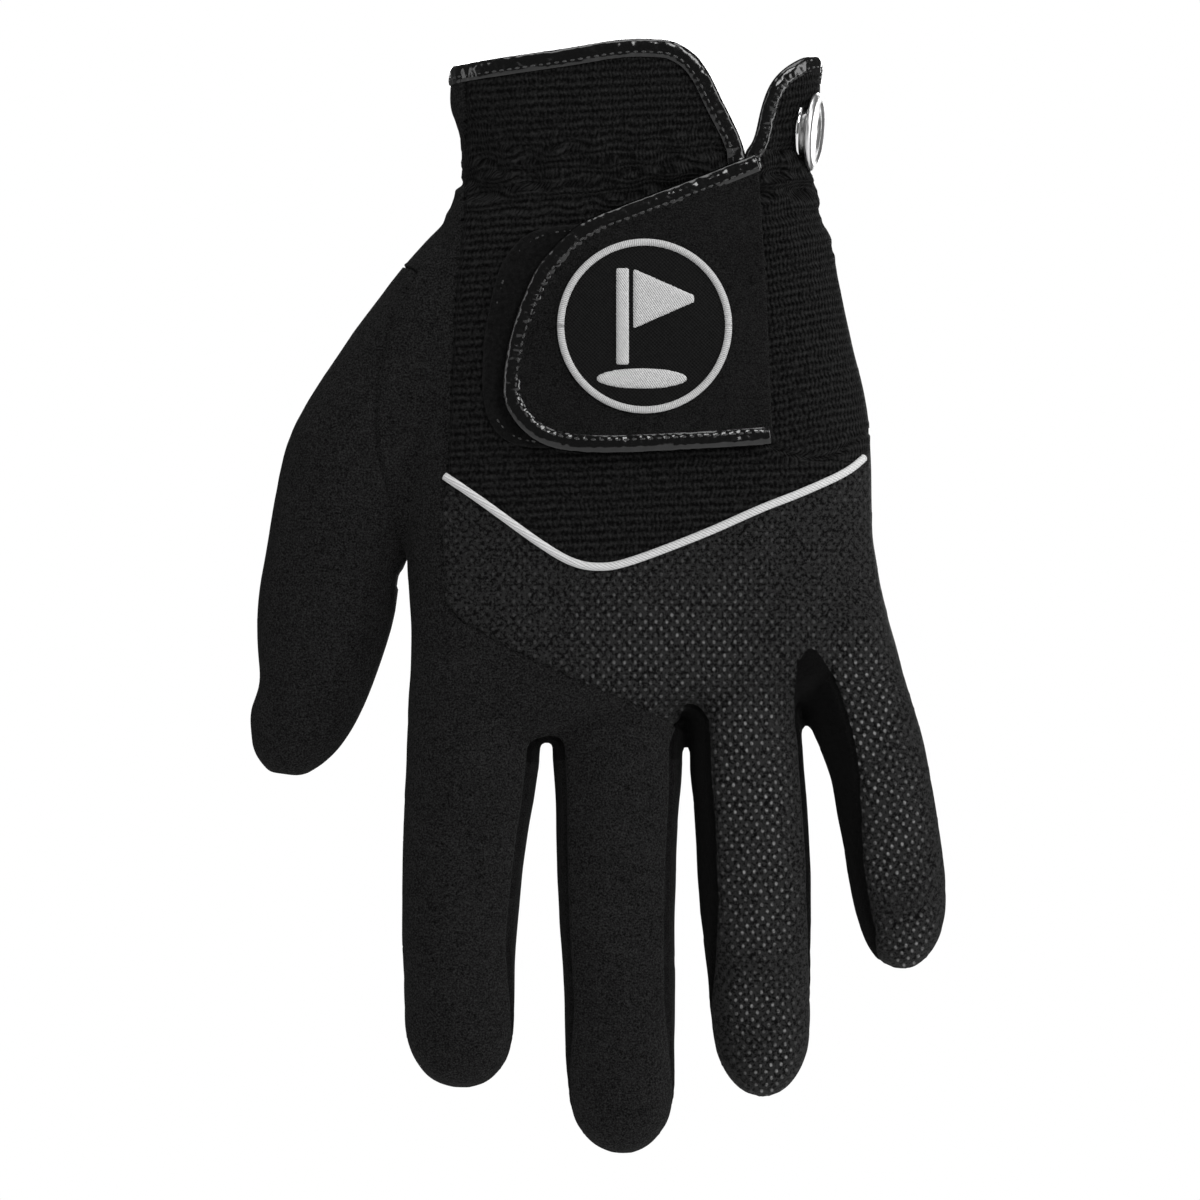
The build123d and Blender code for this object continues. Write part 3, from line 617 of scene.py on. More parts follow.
def region(p):
    """Name of the piece each point belongs to."""
    n = len(p)
    x, y, z = p.T
    name = np.full(n, "palm_panel", dtype=object)
    xz = p[:, [0, 2]]
    ahead = y < SIDE_SEAM_Y
    right_of_left = line_distance(xz, rounded(BACK_LEFT, 120)) > 0
    over_piping = line_distance(xz, rounded(PIPING, 120)) > 0
    fine_low = rounded(KNUCKLE_LOW, 120)
    over_low = np.where(x < 9.6, line_distance(xz, fine_low) > 0, True)
    slit_side = line_distance(xz, SLIT)
    over_foot = (line_distance(xz, rounded(WING_FOOT, 120)) > 0) & (x > 22)
    back = ahead & right_of_left & (over_piping | (z > -80))
    knuckle = ahead & right_of_left & ~back & over_low
    name[knuckle & (x > -44)] = "knuckle_panel"
    name[back & (x > -42)] = "back_panel"
    wing = back & (slit_side > 0) & over_foot
    name[wing] = "wing_panel"
    in_slit = (np.abs(slit_side) < HALF_SLIT) & (z > -82.4) & (z < -15) & (x > 21.5) & (x < 31)
    name[ahead & in_slit & front(p)] = "gap"
    name[(thumb_side(p) < 0) & (z < -41) & (z > -160) & (x < -20)] = "thumb_base"
    axis = THUMB_ZONE[1] - THUMB_ZONE[0]
    past = (p - THUMB_ZONE[0]) @ (axis / np.linalg.norm(axis))
    tip = (name == "thumb_base") & (past > 0) & (x < -51.8)
    split = y - np.interp(z, [-154, -107], [13.0, 9.0])
    name[tip & (split < 0)] = "thumb_tip_back"
    name[tip & (split >= 0)] = "thumb_tip_palm"
    own = owner(p)
    free = ~np.isin(name, ["thumb_base", "thumb_tip_back", "thumb_tip_palm", "gap"])
    for i, f in enumerate(FINGERS):
        s, u, turn, _, a_lim, p_lim = side_limits(p, f)
        mine = (own == i) & free & (x > -56)
        zones = FINGERS[f]["zones"]
        back_side, palm_side = turn > a_lim, turn < -p_lim
        finger = mine & (s > zones[0]) & (np.abs(u) < 1.3)
        part = np.where(s < zones[2], "base", "tip")
        which = np.where(back_side, "back", np.where(palm_side, "palm", "sides"))
        for k in np.nonzero(finger)[0]:
            name[k] = f"{f}_{part[k]}_{which[k]}"
        # The webs at the finger roots get the painted-shade suede, standing in for the shade between the
        # fingers.
        web = mine & (s > -7) & (s <= zones[0]) & (np.abs(u) > 0.6) & ~back_side & ~palm_side
        name[web] = "finger_webs"
    for arch in ARCHES:
        under = inside(xz, rounded(arch, 120)) & (y < 4)
        under &= np.isin(name, ["knuckle_panel", "palm_panel", "finger_webs"])
        name[under] = "finger_webs"
    name[(z > top_height(p))] = "gap"
    return name


skin_verts, skin_faces = merged_skin()
skin_verts = relax(skin_verts, skin_faces, 26)

bm = bmesh.new()
for v in skin_verts:
    bm.verts.new(v)
bm.verts.ensure_lookup_table()
for f in skin_faces:
    bm.faces.new([bm.verts[i] for i in f])
FIELDS = seam_fields()
for key, (field, where) in FIELDS.items():
    cut(bm, field, where)
GROOVED = ["wing_foot", "back_left", "knuckle", "side", "thumb"] + [f + "_ahead" for f in FINGERS]
for key in GROOVED:
    field, where = FIELDS[key]
    for shift in (-0.7, 0.7):
        cut(bm, lambda p, f=field, d=shift: f(p) - d, where, snap=0.1)
bm.verts.index_update()
skin_verts = np.array([v.co for v in bm.verts])
skin_faces = [tuple(v.index for v in f.verts) for f in bm.faces]
bm.free()
skin_normals = vertex_normals(skin_verts, skin_faces)
flat_tree = BVHTree.FromPolygons([tuple(v) for v in skin_verts], skin_faces)


# ---------------------------------------------------------------- folds and grooves on the skin
def gathers(p):
    """Short level rolls of gathered knit, about +-1."""
    return waves(p, 3.6, 14, 11, stretch=(0.42, 0.42, 1.15))


def shape_skin(p):
    """How far each point of the skin moves along its normal."""
    x, y, z = p.T
    move = 0.16 * waves(p, 30, 3) + 0.05 * waves(p, 12, 4)
    # seam grooves
    for key in GROOVED:
        field, where = FIELDS[key]
        here = where(p)
        d = np.full(len(p), 9.0)
        d[here] = np.abs(field(p[here]))
        move -= GROOVE_DEPTH * (1 - smooth(d, 0.0, GROOVE_WIDTH)) - 0.16 * np.exp(-((d - 1.3) / 0.6) ** 2)
    # gathers over the wrist elastic
    around = np.arctan2(y * 2.4, x) * 38
    hand = (x > -60) & (z > -45)
    band = np.exp(-((z + 24.5) / 7.5) ** 2)
    band += 0.35 * np.exp(-((z + 40) / 9) ** 2) * (x > 24)
    ridge = np.sin(around * 2 * math.pi / 7.5 + 2.2 * waves(p, 13, 11) + 0.9 * np.sin(z / 2.1))
    rolls = gathers(p)
    move += np.where(hand, band * (0.22 * ridge + 0.62 * rolls + 0.2 * waves(p, 6, 13)), 0)
    # thumb folds at the crotch
    for cx, cz, tilt, depth in ((-55.5, -95.5, 0.5, 0.6), (-58.5, -99.0, 0.35, 0.5), (-53.5, -91.0, 0.7, 0.45)):
        du, dv = x - cx, z - cz
        along = du * math.cos(tilt) + dv * math.sin(tilt)
        off = -du * math.sin(tilt) + dv * math.cos(tilt)
        move -= depth * np.exp(-(along / 5.5) ** 2 - (off / 1.3) ** 2) * (y < 10)
    # creases behind each finger joint and on its palm side
    for f in FINGERS:
        s, u, v = finger_local(p, f)[:3]
        mine = (np.abs(u) < 1.2) & (s > 2)
        zones = FINGERS[f]["zones"]
        for centre, strength in ((zones[0] + 9, 0.32), ((zones[2] + zones[3]) / 2, 0.42)):
            bow = 1.6 * np.abs(u) ** 2
            move -= np.where(mine & (v > 0), strength * np.exp(-((s - centre - bow) / 1.1) ** 2), 0)
            move -= np.where(mine & (v > 0), 0.6 * strength * np.exp(-((s - centre - 5 + bow) / 1.0) ** 2), 0)
        move += np.where(mine & (v < 0.2), 0.07 * waves(p, 15, 21, stretch=(1, 1, 0.6)), 0)
    # palm creases of a worn glove
    for line in ([(-40, -98), (-22, -96), (-4, -104), (10, -116)],
                 [(-36, -80), (-18, -84), (-8, -100), (-6, -118)]):
        d = np.abs(line_distance(p[:, [0, 2]], rounded(line, 60)))
        move -= np.where(y > 4, 0.5 * np.exp(-(d / 1.6) ** 2), 0)
    return move


skin_verts = skin_verts + skin_normals * shape_skin(skin_verts)[:, None]
skin_normals = vertex_normals(skin_verts, skin_faces)
regions = region(np.array([skin_verts[list(f)].mean(axis=0) for f in skin_faces]))


def arc_table(a, b):
    """Distance round an ellipse against its angle."""
    phi = np.linspace(-math.pi, math.pi, 721)
    step = np.hypot(a * np.cos(phi), b * np.sin(phi)) * (phi[1] - phi[0])
    arc = np.cumsum(step)
    return phi, arc - arc[360]


HAND_ARC = arc_table(48, 16)
FINGER_ARC = arc_table(12.5, 9.5)


def cloth_coordinates(p, level=False):
    """Distances across and along the cloth in mm; level leaves out the wrap around the hand."""
    around = np.arctan2(p[:, 0] / 48, -p[:, 1] / 16)
    u = p[:, 0].copy() if level else np.interp(around, *HAND_ARC)
    v = p[:, 2] + 1.1 * gathers(p) * np.exp(-((p[:, 2] + 24.5) / 8) ** 2) * (p[:, 2] > -50)
    v += np.where(p[:, 0] > 24, -0.16 * (p[:, 0] - 24), 0) * (p[:, 2] > -86)
    own = owner(p)
    for i, f in enumerate(FINGERS):
        s, fu, fv = finger_local(p, f)[:3]
        root, _, across = finger_axes(f)
        if level:
            arc = (p - root) @ across + root[0]
        else:
            phi = np.arctan2(fu, -fv)
            arc = np.interp(phi, *FINGER_ARC) + np.interp(np.arctan2(root[0] / 48, 1.0), *HAND_ARC)
        w = np.where(own == i, smooth(s, -2, 10), 0) * (p[:, 0] > -56)
        u = u + (arc - u) * w
        v = v + (root[2] - s - v) * w
    return np.stack([u, v, p[:, 1]], axis=1)


def painted_dot_highlight(p):
    """Painted highlight on the dotted knit's colour: strongest on the finger crowns and over the middle
    knuckles.
    """
    x, z = p[:, 0], p[:, 2]
    strength = 0.10 + 0.62 * np.exp(-((x - 9) / 19) ** 2 - ((z + 126) / 14) ** 2)
    own = owner(p)
    for i, f in enumerate(FINGERS):
        s, u = finger_local(p, f)[:2]
        on_finger = np.exp(-((u - 0.05) / 0.62) ** 4) * (1 - 0.8 * np.exp(-((s - 53) / 4.5) ** 2))
        w = np.where(own == i, smooth(s, -12, 6), 0)
        strength = strength + (on_finger - strength) * w
    return np.clip(strength * (1 + 0.3 * waves(p, 13, 51)), 0, 1)


# ---------------------------------------------------------------- materials
def material(name, colour, rough, specular=0.3, metallic=0.0, sheen=0.0):
    """A new node material: returns it, its tree and its shader."""
    mat = bpy.data.materials.new(name)
    mat.use_nodes = True
    nodes = mat.node_tree.nodes
    shader = next(n for n in nodes if n.type == "BSDF_PRINCIPLED")
    shader.inputs["Base Color"].default_value = (*colour, 1)
    shader.inputs["Roughness"].default_value = rough
    shader.inputs["Specular IOR Level"].default_value = specular
    shader.inputs["Metallic"].default_value = metallic
    shader.inputs["Sheen Weight"].default_value = sheen
    shader.inputs["Sheen Roughness"].default_value = 0.6
    return mat, mat.node_tree, shader


def node(tree, kind, **settings):
    """Adds a shader node."""
    made = tree.nodes.new(kind)
    for key, value in settings.items():
        setattr(made, key, value)
    return made


def maths(tree, operation, a, b=None):
    """A maths node on numbers or sockets."""
    made = node(tree, "ShaderNodeMath", operation=operation)
    for i, value in enumerate((a, b)):
        if value is None:
            continue
        if isinstance(value, (int, float)):
            made.inputs[i].default_value = value
        else:
            tree.links.new(value, made.inputs[i])
    return made.outputs[0]


def add(tree, a, b):
    return maths(tree, "ADD", a, b)


def times(tree, a, b):
    return maths(tree, "MULTIPLY", a, b)


def cloth_vector(tree):
    """The cloth coordinates stored on each piece, in mm."""
    made = node(tree, "ShaderNodeAttribute", attribute_name="cloth")
    return made.outputs["Vector"]


def noise(tree, vector, scale, detail=3.0, rough=0.55, stretch=None):
    if stretch:
        mapping = node(tree, "ShaderNodeMapping")
        mapping.inputs["Scale"].default_value = stretch
        tree.links.new(vector, mapping.inputs["Vector"])
        vector = mapping.outputs["Vector"]
    made = node(tree, "ShaderNodeTexNoise")
    made.inputs["Scale"].default_value = scale
    made.inputs["Detail"].default_value = detail
    made.inputs["Roughness"].default_value = rough
    tree.links.new(vector, made.inputs["Vector"])
    return made.outputs["Fac"]


def ramp(tree, value, low, high, to_low, to_high):
    """Maps low to high onto to_low to to_high."""
    made = node(tree, "ShaderNodeMapRange")
    for key, number in (("From Min", low), ("From Max", high), ("To Min", to_low), ("To Max", to_high)):
        made.inputs[key].default_value = number
    tree.links.new(value, made.inputs["Value"])
    return made.outputs["Result"]


def tint(tree, shader, dark, light, factor):
    """Base colour between two, by factor."""
    mix = node(tree, "ShaderNodeMix", data_type="RGBA")
    mix.inputs["A"].default_value = (*dark, 1)
    mix.inputs["B"].default_value = (*light, 1)
    tree.links.new(factor, mix.inputs["Factor"])
    tree.links.new(mix.outputs["Result"], shader.inputs["Base Color"])
    return mix


def bump(tree, shader, height, distance):
    """Bump from a height map, distance in mm."""
    made = node(tree, "ShaderNodeBump")
    made.inputs["Distance"].default_value = distance * MM
    tree.links.new(height, made.inputs["Height"])
    tree.links.new(made.outputs["Normal"], shader.inputs["Normal"])


def grey(value):
    return (value, value, value)


def suede(name, level, grain=1.0):
    mat, tree, shader = material(name, grey(level), 0.95, 0.02, sheen=0.02)
    p = cloth_vector(tree)
    fine = noise(tree, p, 2.6 / grain, 3, 0.7)
    broad = noise(tree, p, 0.09, 3, 0.6)
    nap = noise(tree, p, 0.7, 3, 0.65, stretch=(0.6, 1, 1))
    mixed = add(tree, times(tree, fine, 0.84), times(tree, broad, 0.06))
    mixed = add(tree, mixed, times(tree, nap, 0.10))
    tint(tree, shader, grey(level * 0.05), grey(level * 4.3), ramp(tree, mixed, 0.40, 0.66, 0, 1))
    bump(tree, shader, add(tree, fine, nap), 0.45)
    return mat


def knit_height(tree, pitch, stitch, tilt=0.0):
    """Height of ribbed knit: rows of small loops."""
    sep = node(tree, "ShaderNodeSeparateXYZ")
    tree.links.new(cloth_vector(tree), sep.inputs[0])
    wobble = times(tree, noise(tree, cloth_vector(tree), 0.16, 2), 0.5)
    u = add(tree, sep.outputs["X"], wobble)
    v = add(tree, add(tree, sep.outputs["Y"], times(tree, sep.outputs["X"], tilt)), wobble)
    row_phase = times(tree, v, 2 * math.pi / pitch)
    row = maths(tree, "SINE", row_phase)
    loop_phase = times(tree, u, 2 * math.pi / stitch)
    swing = times(tree, maths(tree, "SINE", times(tree, row_phase, 0.5)), 1.2)
    loop = maths(tree, "SINE", add(tree, loop_phase, swing))
    return row, loop


def rib_knit(name, level):
    mat, tree, shader = material(name, grey(level), 0.9, 0.03, sheen=0.02)
    row, loop = knit_height(tree, 1.7, 0.95, tilt=-0.04)
    height = add(tree, times(tree, row, 0.7), times(tree, loop, 0.3))
    speck = noise(tree, cloth_vector(tree), 1.4, 3, 0.75)
    tone = add(tree, ramp(tree, height, -0.8, 0.9, 0.0, 0.6), ramp(tree, speck, 0.38, 0.62, -0.35, 0.45))
    tint(tree, shader, grey(level * 0.05), grey(level * 3.0), tone)
    bump(tree, shader, add(tree, height, times(tree, speck, 1.5)), 0.42)
    return mat


def dotted_knit(name, level):
    mat, tree, shader = material(name, grey(level), 0.8, 0.05, sheen=0.02)
    sep = node(tree, "ShaderNodeSeparateXYZ")
    tree.links.new(cloth_vector(tree), sep.inputs[0])
    u, v = sep.outputs["X"], sep.outputs["Y"]
    across, along = maths(tree, "DIVIDE", u, 2.25), maths(tree, "DIVIDE", v, 2.9)
    lobes = [maths(tree, "ABSOLUTE", maths(tree, "COSINE", times(tree, diagonal, math.pi)))
             for diagonal in (add(tree, across, along), maths(tree, "SUBTRACT", across, along))]
    dots = times(tree, *lobes)
    grain = noise(tree, cloth_vector(tree), 1.5, 3, 0.75)
    blot = noise(tree, cloth_vector(tree), 0.45, 2, 0.6)
    # The dots are lighter rubber, but this painted highlight attribute scales how light they are and lightens
    # the ground, most on the crowns and knuckles.
    strength = node(tree, "ShaderNodeAttribute", attribute_name="painted_dot_highlight").outputs["Fac"]
    dot = times(tree, ramp(tree, dots, 0.70, 0.95, 0, 1), ramp(tree, grain, 0.34, 0.6, 0.2, 1.0))
    dot = times(tree, dot, ramp(tree, blot, 0.36, 0.6, 0.3, 1.0))
    dot = times(tree, dot, strength)
    ground = add(tree, ramp(tree, grain, 0.42, 0.58, -0.3, 1.6), ramp(tree, dots, 0.2, 0.9, 0.0, 0.4))
    # Ground painted lighter where the painted highlight is strong.
    ground = times(tree, ground, ramp(tree, strength, 0.0, 0.8, 0.9, 1.65))
    base = tint(tree, shader, grey(0), grey(level), ground)
    top = node(tree, "ShaderNodeMix", data_type="RGBA")
    top.inputs["B"].default_value = (*grey(0.25), 1)
    tree.links.new(base.outputs["Result"], top.inputs["A"])
    tree.links.new(dot, top.inputs["Factor"])
    tree.links.new(top.outputs["Result"], shader.inputs["Base Color"])
    height = add(tree, times(tree, dots, 0.7), times(tree, grain, 1.6))
    bump(tree, shader, height, 0.28)
    return mat


def patent(name):
    mat, tree, shader = material(name, grey(0.002), 0.15, 0.5)
    p = cloth_vector(tree)
    wrinkle = noise(tree, p, 0.45, 1, 0.5)
    fine = noise(tree, p, 3.0, 3, 0.6)
    bump(tree, shader, add(tree, wrinkle, times(tree, fine, 0.03)), 0.38)
    tree.links.new(ramp(tree, fine, 0.3, 0.7, 0.10, 0.20), shader.inputs["Roughness"])
    tint(tree, shader, grey(0.0006), grey(0.003), fine)
    return mat


def threads(name, level, pitch, turn, spread):
    """Satin stitch or weave: parallel threads at an angle."""
    mat, tree, shader = material(name, grey(level), 0.5, 0.35, sheen=0.3)
    sep = node(tree, "ShaderNodeSeparateXYZ")
    tree.links.new(cloth_vector(tree), sep.inputs[0])
    across = add(tree, times(tree, sep.outputs["X"], math.cos(turn)),
                 times(tree, sep.outputs["Y"], math.sin(turn)))
    wave = maths(tree, "SINE", times(tree, across, 2 * math.pi / pitch))
    grain = noise(tree, cloth_vector(tree), 1.4, 3)
    tone = add(tree, ramp(tree, wave, -1, 1, 0, 0.7), ramp(tree, grain, 0.3, 0.7, 0, 0.3))
    tint(tree, shader, grey(level * (1 - spread)), grey(min(0.95, level * (1 + spread * 0.4))), tone)
    bump(tree, shader, wave, 0.08)
    return mat


def woven(name, level, pitch):
    """Plain weave."""
    mat, tree, shader = material(name, grey(level), 0.85, 0.03, sheen=0.02)
    sep = node(tree, "ShaderNodeSeparateXYZ")
    tree.links.new(cloth_vector(tree), sep.inputs[0])
    a = maths(tree, "SINE", times(tree, sep.outputs["X"], 2 * math.pi / pitch))
    b = maths(tree, "SINE", times(tree, sep.outputs["Y"], 2 * math.pi / pitch))
    weave = times(tree, a, b)
    grain = noise(tree, cloth_vector(tree), 1.2, 3)
    tone = add(tree, ramp(tree, weave, -1, 1, 0, 0.7), ramp(tree, grain, 0.3, 0.7, 0, 0.3))
    tint(tree, shader, grey(level * 0.35), grey(level * 1.7), tone)
    bump(tree, shader, weave, 0.10)
    return mat


def pile(name, level):
    """Fuzzy loop pile."""
    mat, tree, shader = material(name, grey(level), 0.95, 0.03, sheen=0.04)
    p = cloth_vector(tree)
    tuft = noise(tree, p, 1.1, 5, 0.75)
    tint(tree, shader, grey(level * 0.2), grey(level * 2.4), ramp(tree, tuft, 0.35, 0.68, 0, 1))
    bump(tree, shader, tuft, 0.6)
    return mat


def metal(name, level, rough, grain=0.0):
    mat, tree, shader = material(name, grey(level), rough, 0.5, metallic=1.0)
    coord = node(tree, "ShaderNodeTexCoord")
    fine = noise(tree, coord.outputs["Object"], 900, 3)
    tree.links.new(ramp(tree, fine, 0.3, 0.7, rough * 0.8, rough * 1.25), shader.inputs["Roughness"])
    tint(tree, shader, grey(level * 0.93), grey(level), fine)
    if grain:
        bump(tree, shader, fine, grain)
    return mat


MATERIALS = {
    "suede": suede("suede", 0.0062),
    "tab_suede": suede("tab_suede", 0.0043, 0.8),
    "rib_knit": rib_knit("rib_knit", 0.0062),
    "dotted_knit": dotted_knit("dotted_knit", 0.017),
    "binding": patent("binding"),
    "side_leather": suede("side_leather", 0.0036, 0.7),
    # Near-black suede used as painted shade: in the finger webs and on the ring and little fingers' side
    # strips.
    "side_shade": suede("side_shade", 0.0010, 0.7),
    "piping": threads("piping", 0.62, 0.55, 1.1, 0.18),
    "loop_fabric": pile("loop_fabric", 0.0032),
    "hook_plastic": woven("hook_plastic", 0.008, 1.3),
    "badge_cloth": woven("badge_cloth", 0.0065, 0.8),
    "embroidery": threads("embroidery", 0.56, 0.42, 0.6, 0.4),
    "elastic": woven("elastic", 0.006, 1.2),
    "chrome": metal("chrome", 0.82, 0.08),
    "satin_metal": metal("satin_metal", 0.62, 0.34, 0.02),
    "thread": threads("thread", 0.006, 0.3, 0.5, 0.3),
    "ring_thread": threads("ring_thread", 0.54, 0.42, 0.0, 0.4),
}


SLOT_OF = {"thread": "binding", "ring_thread": "embroidery", "side_shade": "side_leather"}


# ---------------------------------------------------------------- building pieces
def build(name, verts, faces, slot, body, nodes=(), normals=None, cloth=None, blend=None):
    """Makes a piece from mm arrays with its material; it is parented to its body's empty, or left unparented
    with its transform baked when blend is given.
    """
    mesh = mesh_from(name, verts, faces)
    mesh.validate(verbose=False)
    mesh.update()
    obj = bpy.data.objects.new(name, mesh)
    scene.collection.objects.link(obj)
    attribute = mesh.attributes.new("cloth", "FLOAT_VECTOR", "POINT")
    if cloth is None and "knit" in slot:
        cloth = cloth_coordinates(np.asarray(verts), slot == "dotted_knit")
    data = np.asarray(verts)[:, [0, 2, 1]] if cloth is None else cloth
    attribute.data.foreach_set("vector", np.asarray(data, dtype=np.float32).ravel())
    # Per-vertex painted highlight for the dotted knit's colour.
    if slot == "dotted_knit":
        painted_highlight_layer = mesh.attributes.new("painted_dot_highlight", "FLOAT", "POINT")
        painted_highlight_layer.data.foreach_set("value", painted_dot_highlight(np.asarray(verts)).astype(np.float32))
    mesh.materials.append(MATERIALS[slot])
    mesh.polygons.foreach_set("use_smooth", [True] * len(mesh.polygons))
    if normals is not None and len(normals) == len(mesh.loops):
        mesh.normals_split_custom_set([tuple(n) for n in normals])
    if blend:
        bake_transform(obj)
    else:
        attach(obj, body)
    if nodes:
        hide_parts(*nodes)
    SLOT_OF.get(slot, slot)


def shell(verts, faces, normals, thickness):
    """A skin given thickness inwards: verts, faces and one normal for each face corner."""
    used = np.unique([i for f in faces for i in f])
    index = {int(v): i for i, v in enumerate(used)}
    faces = [tuple(index[i] for i in f) for f in faces]
    verts, normals = verts[used], normals[used]
    n = len(verts)
    sides = dict.fromkeys((a, b) for f in faces for a, b in zip(f, f[1:] + f[:1]))
    rim = [(b, a, a + n, b + n) for a, b in sides if (b, a) not in sides]
    inner = [tuple(i + n for i in reversed(f)) for f in faces]
    both = np.vstack([verts, verts - normals * thickness])
    corner = [normals[i] for f in faces for i in f] + [-normals[i - n] for f in inner for i in f]
    for q in rim:
        a, b, c = both[q[0]], both[q[1]], both[q[2]]
        side = np.cross(b - a, c - a)
        side = side / max(np.linalg.norm(side), 1e-9)
        corner += [side] * 4
    return both, faces + inner + rim, np.array(corner)


PANEL_THICKNESS = 0.9
PANELS = {
    "palm_panel": ("suede", "hand", ["palm_panel"]), "back_panel": ("rib_knit", "hand", ["back_panel"]),
    "knuckle_panel": ("dotted_knit", "hand", ["knuckle_panel"]),
    "wing_panel": ("rib_knit", "hand", ["wing_panel"]),
    # finger_webs: painted-shade suede for the shaded crotches between the fingers.
    "thumb_base": ("suede", "hand", ["thumb_base"]), "finger_webs": ("side_shade", "hand", []),
    "thumb_tip_back": ("suede", "thumb_tip", ["thumb_tip_back", "thumb_gusset"]),
    "thumb_tip_palm": ("suede", "thumb_tip", ["thumb_tip_palm"]),
}
for f in FINGERS:
    top = "suede" if f in ("index", "middle") else "dotted_knit"
    for part, gusset in (("base", "knuckle"), ("tip", "midjoint")):
        PANELS[f"{f}_{part}_back"] = (top, f"{f}_{part}", [f"{f}_{part}_back", f"{f}_{gusset}_gusset"])
        PANELS[f"{f}_{part}_palm"] = ("suede", f"{f}_{part}", [f"{f}_{part}_palm"])
        # Ring and little side strips use the painted-shade suede, darker as painted shade on sides turned from
        # the light.
        side = "side_leather" if f in ("index", "middle") else "side_shade"
        PANELS[f"{f}_{part}_sides"] = (side, f"{f}_{part}", [f"{f}_{part}_sides"])


def blend_for(name):
    """The two bodies and the points where a panel would bend from one to the other, or None."""
    if name.startswith("thumb_tip"):
        return ("hand", "thumb_tip", tuple(THUMB_ZONE[0] * MM), tuple(THUMB_ZONE[1] * MM))
    finger, part = name.split("_")[:2]
    if finger not in FINGERS or part not in ("base", "tip"):
        return None
    root, along, _ = finger_axes(finger)
    z = FINGERS[finger]["zones"]
    a, b = ("hand", finger + "_base") if part == "base" else (finger + "_base", finger + "_tip")
    start, end = (z[0], z[1]) if part == "base" else (z[2], z[3])
    return (a, b, tuple((root + along * start) * MM), tuple((root + along * end) * MM))


for name, (slot, body, nodes) in PANELS.items():
    mine = [skin_faces[i] for i in np.nonzero(regions == name)[0]]
    verts, faces, corner = shell(skin_verts, mine, skin_normals, PANEL_THICKNESS)
    build(name, verts, faces, slot, body, nodes, normals=corner, blend=blend_for(name))


# ---------------------------------------------------------------- sheets and strips laid on the skin
def on_front(xz, tree):
    """Points and normals of a surface's back-of-hand side at front-view points."""
    places, normals = [], []
    for x, z in xz:
        hit = tree.ray_cast(Vector((x, -60, z)), Vector((0, 1, 0)))
        if hit[0] is None:
            hit = tree.find_nearest(Vector((x, -6, z)))
        places.append(tuple(hit[0]))
        normals.append(tuple(hit[1]))
    return np.array(places), np.array(normals)


def steady(values, rounds):
    """Evens out a list of vectors along a path."""
    values = values.copy()
    for _ in range(rounds):
        values[1:-1] = values[1:-1] * 0.5 + (values[:-2] + values[2:]) * 0.25
    return values


def patch(outline, low, high, step=1.0, edge=0.35, lift=None, tree=flat_tree, calm=10):
    """A cut sheet that lies over the back of the hand, low to high above the skin, with rounded edges.
    Returns verts and faces."""
    outline = np.asarray(outline)
    lo, hi = outline.min(axis=0) - 2 * step, outline.max(axis=0) + 2 * step
    nx, nz = (np.ceil((hi - lo) / step) + 1).astype(int)
    grid = np.array([(lo[0] + i * step, lo[1] + j * step) for j in range(nz) for i in range(nx)])
    bm = bmesh.new()
    made = [bm.verts.new((x, 0, z)) for x, z in grid]
    for j in range(nz - 1):
        for i in range(nx - 1):
            k = j * nx + i
            bm.faces.new([made[k], made[k + 1], made[k + nx + 1], made[k + nx]])

    def field(p):
        return outline_distance(p[:, [0, 2]], outline)
    cut(bm, field, snap=0.25 * step)
    cut(bm, lambda p: field(p) - 0.5, snap=0.1 * step)
    bm.faces.ensure_lookup_table()
    outside = field(np.array([f.calc_center_median() for f in bm.faces])) < 0
    bmesh.ops.delete(bm, geom=[bm.faces[i] for i in np.nonzero(outside)[0]], context="FACES")
    loose = [v for v in bm.verts if not v.link_faces]
    bmesh.ops.delete(bm, geom=loose, context="VERTS")
    bm.verts.index_update()
    flat = np.array([v.co for v in bm.verts])
    faces = [tuple(v.index for v in f.verts) for f in bm.faces]
    bm.free()
    surface, _ = on_front(flat[:, [0, 2]], tree)
    e = edges_of(faces)
    degree = np.maximum(np.bincount(e.ravel(), minlength=len(flat)), 1)
    y = surface[:, 1]
    for _ in range(calm):
        total = np.bincount(e[:, 0], y[e[:, 1]], len(y)) + np.bincount(e[:, 1], y[e[:, 0]], len(y))
        y = np.minimum(y, 0.4 * y + 0.6 * total / degree)
    flat[:, 1] = y
    inset = np.maximum(outline_distance(flat[:, [0, 2]], outline), 0)
    edge_drop = edge * (1 - np.sqrt(np.clip(1 - (1 - np.clip(inset / 1.2, 0, 1)) ** 2, 0, 1)))
    extra = lift(flat[:, [0, 2]], inset) if lift else 0
    front_y = flat[:, 1] - high - extra + edge_drop
    rear_y = flat[:, 1] - low
    n = len(flat)
    verts = np.vstack([np.stack([flat[:, 0], front_y, flat[:, 2]], axis=1),
                       np.stack([flat[:, 0], rear_y, flat[:, 2]], axis=1)])
    seen_edges = {(a, b) for f in faces for a, b in zip(f, f[1:] + f[:1])}
    rim = [(b, a, a + n, b + n) for a, b in seen_edges if (b, a) not in seen_edges]
    return verts, faces + [tuple(i + n for i in reversed(f)) for f in faces] + rim


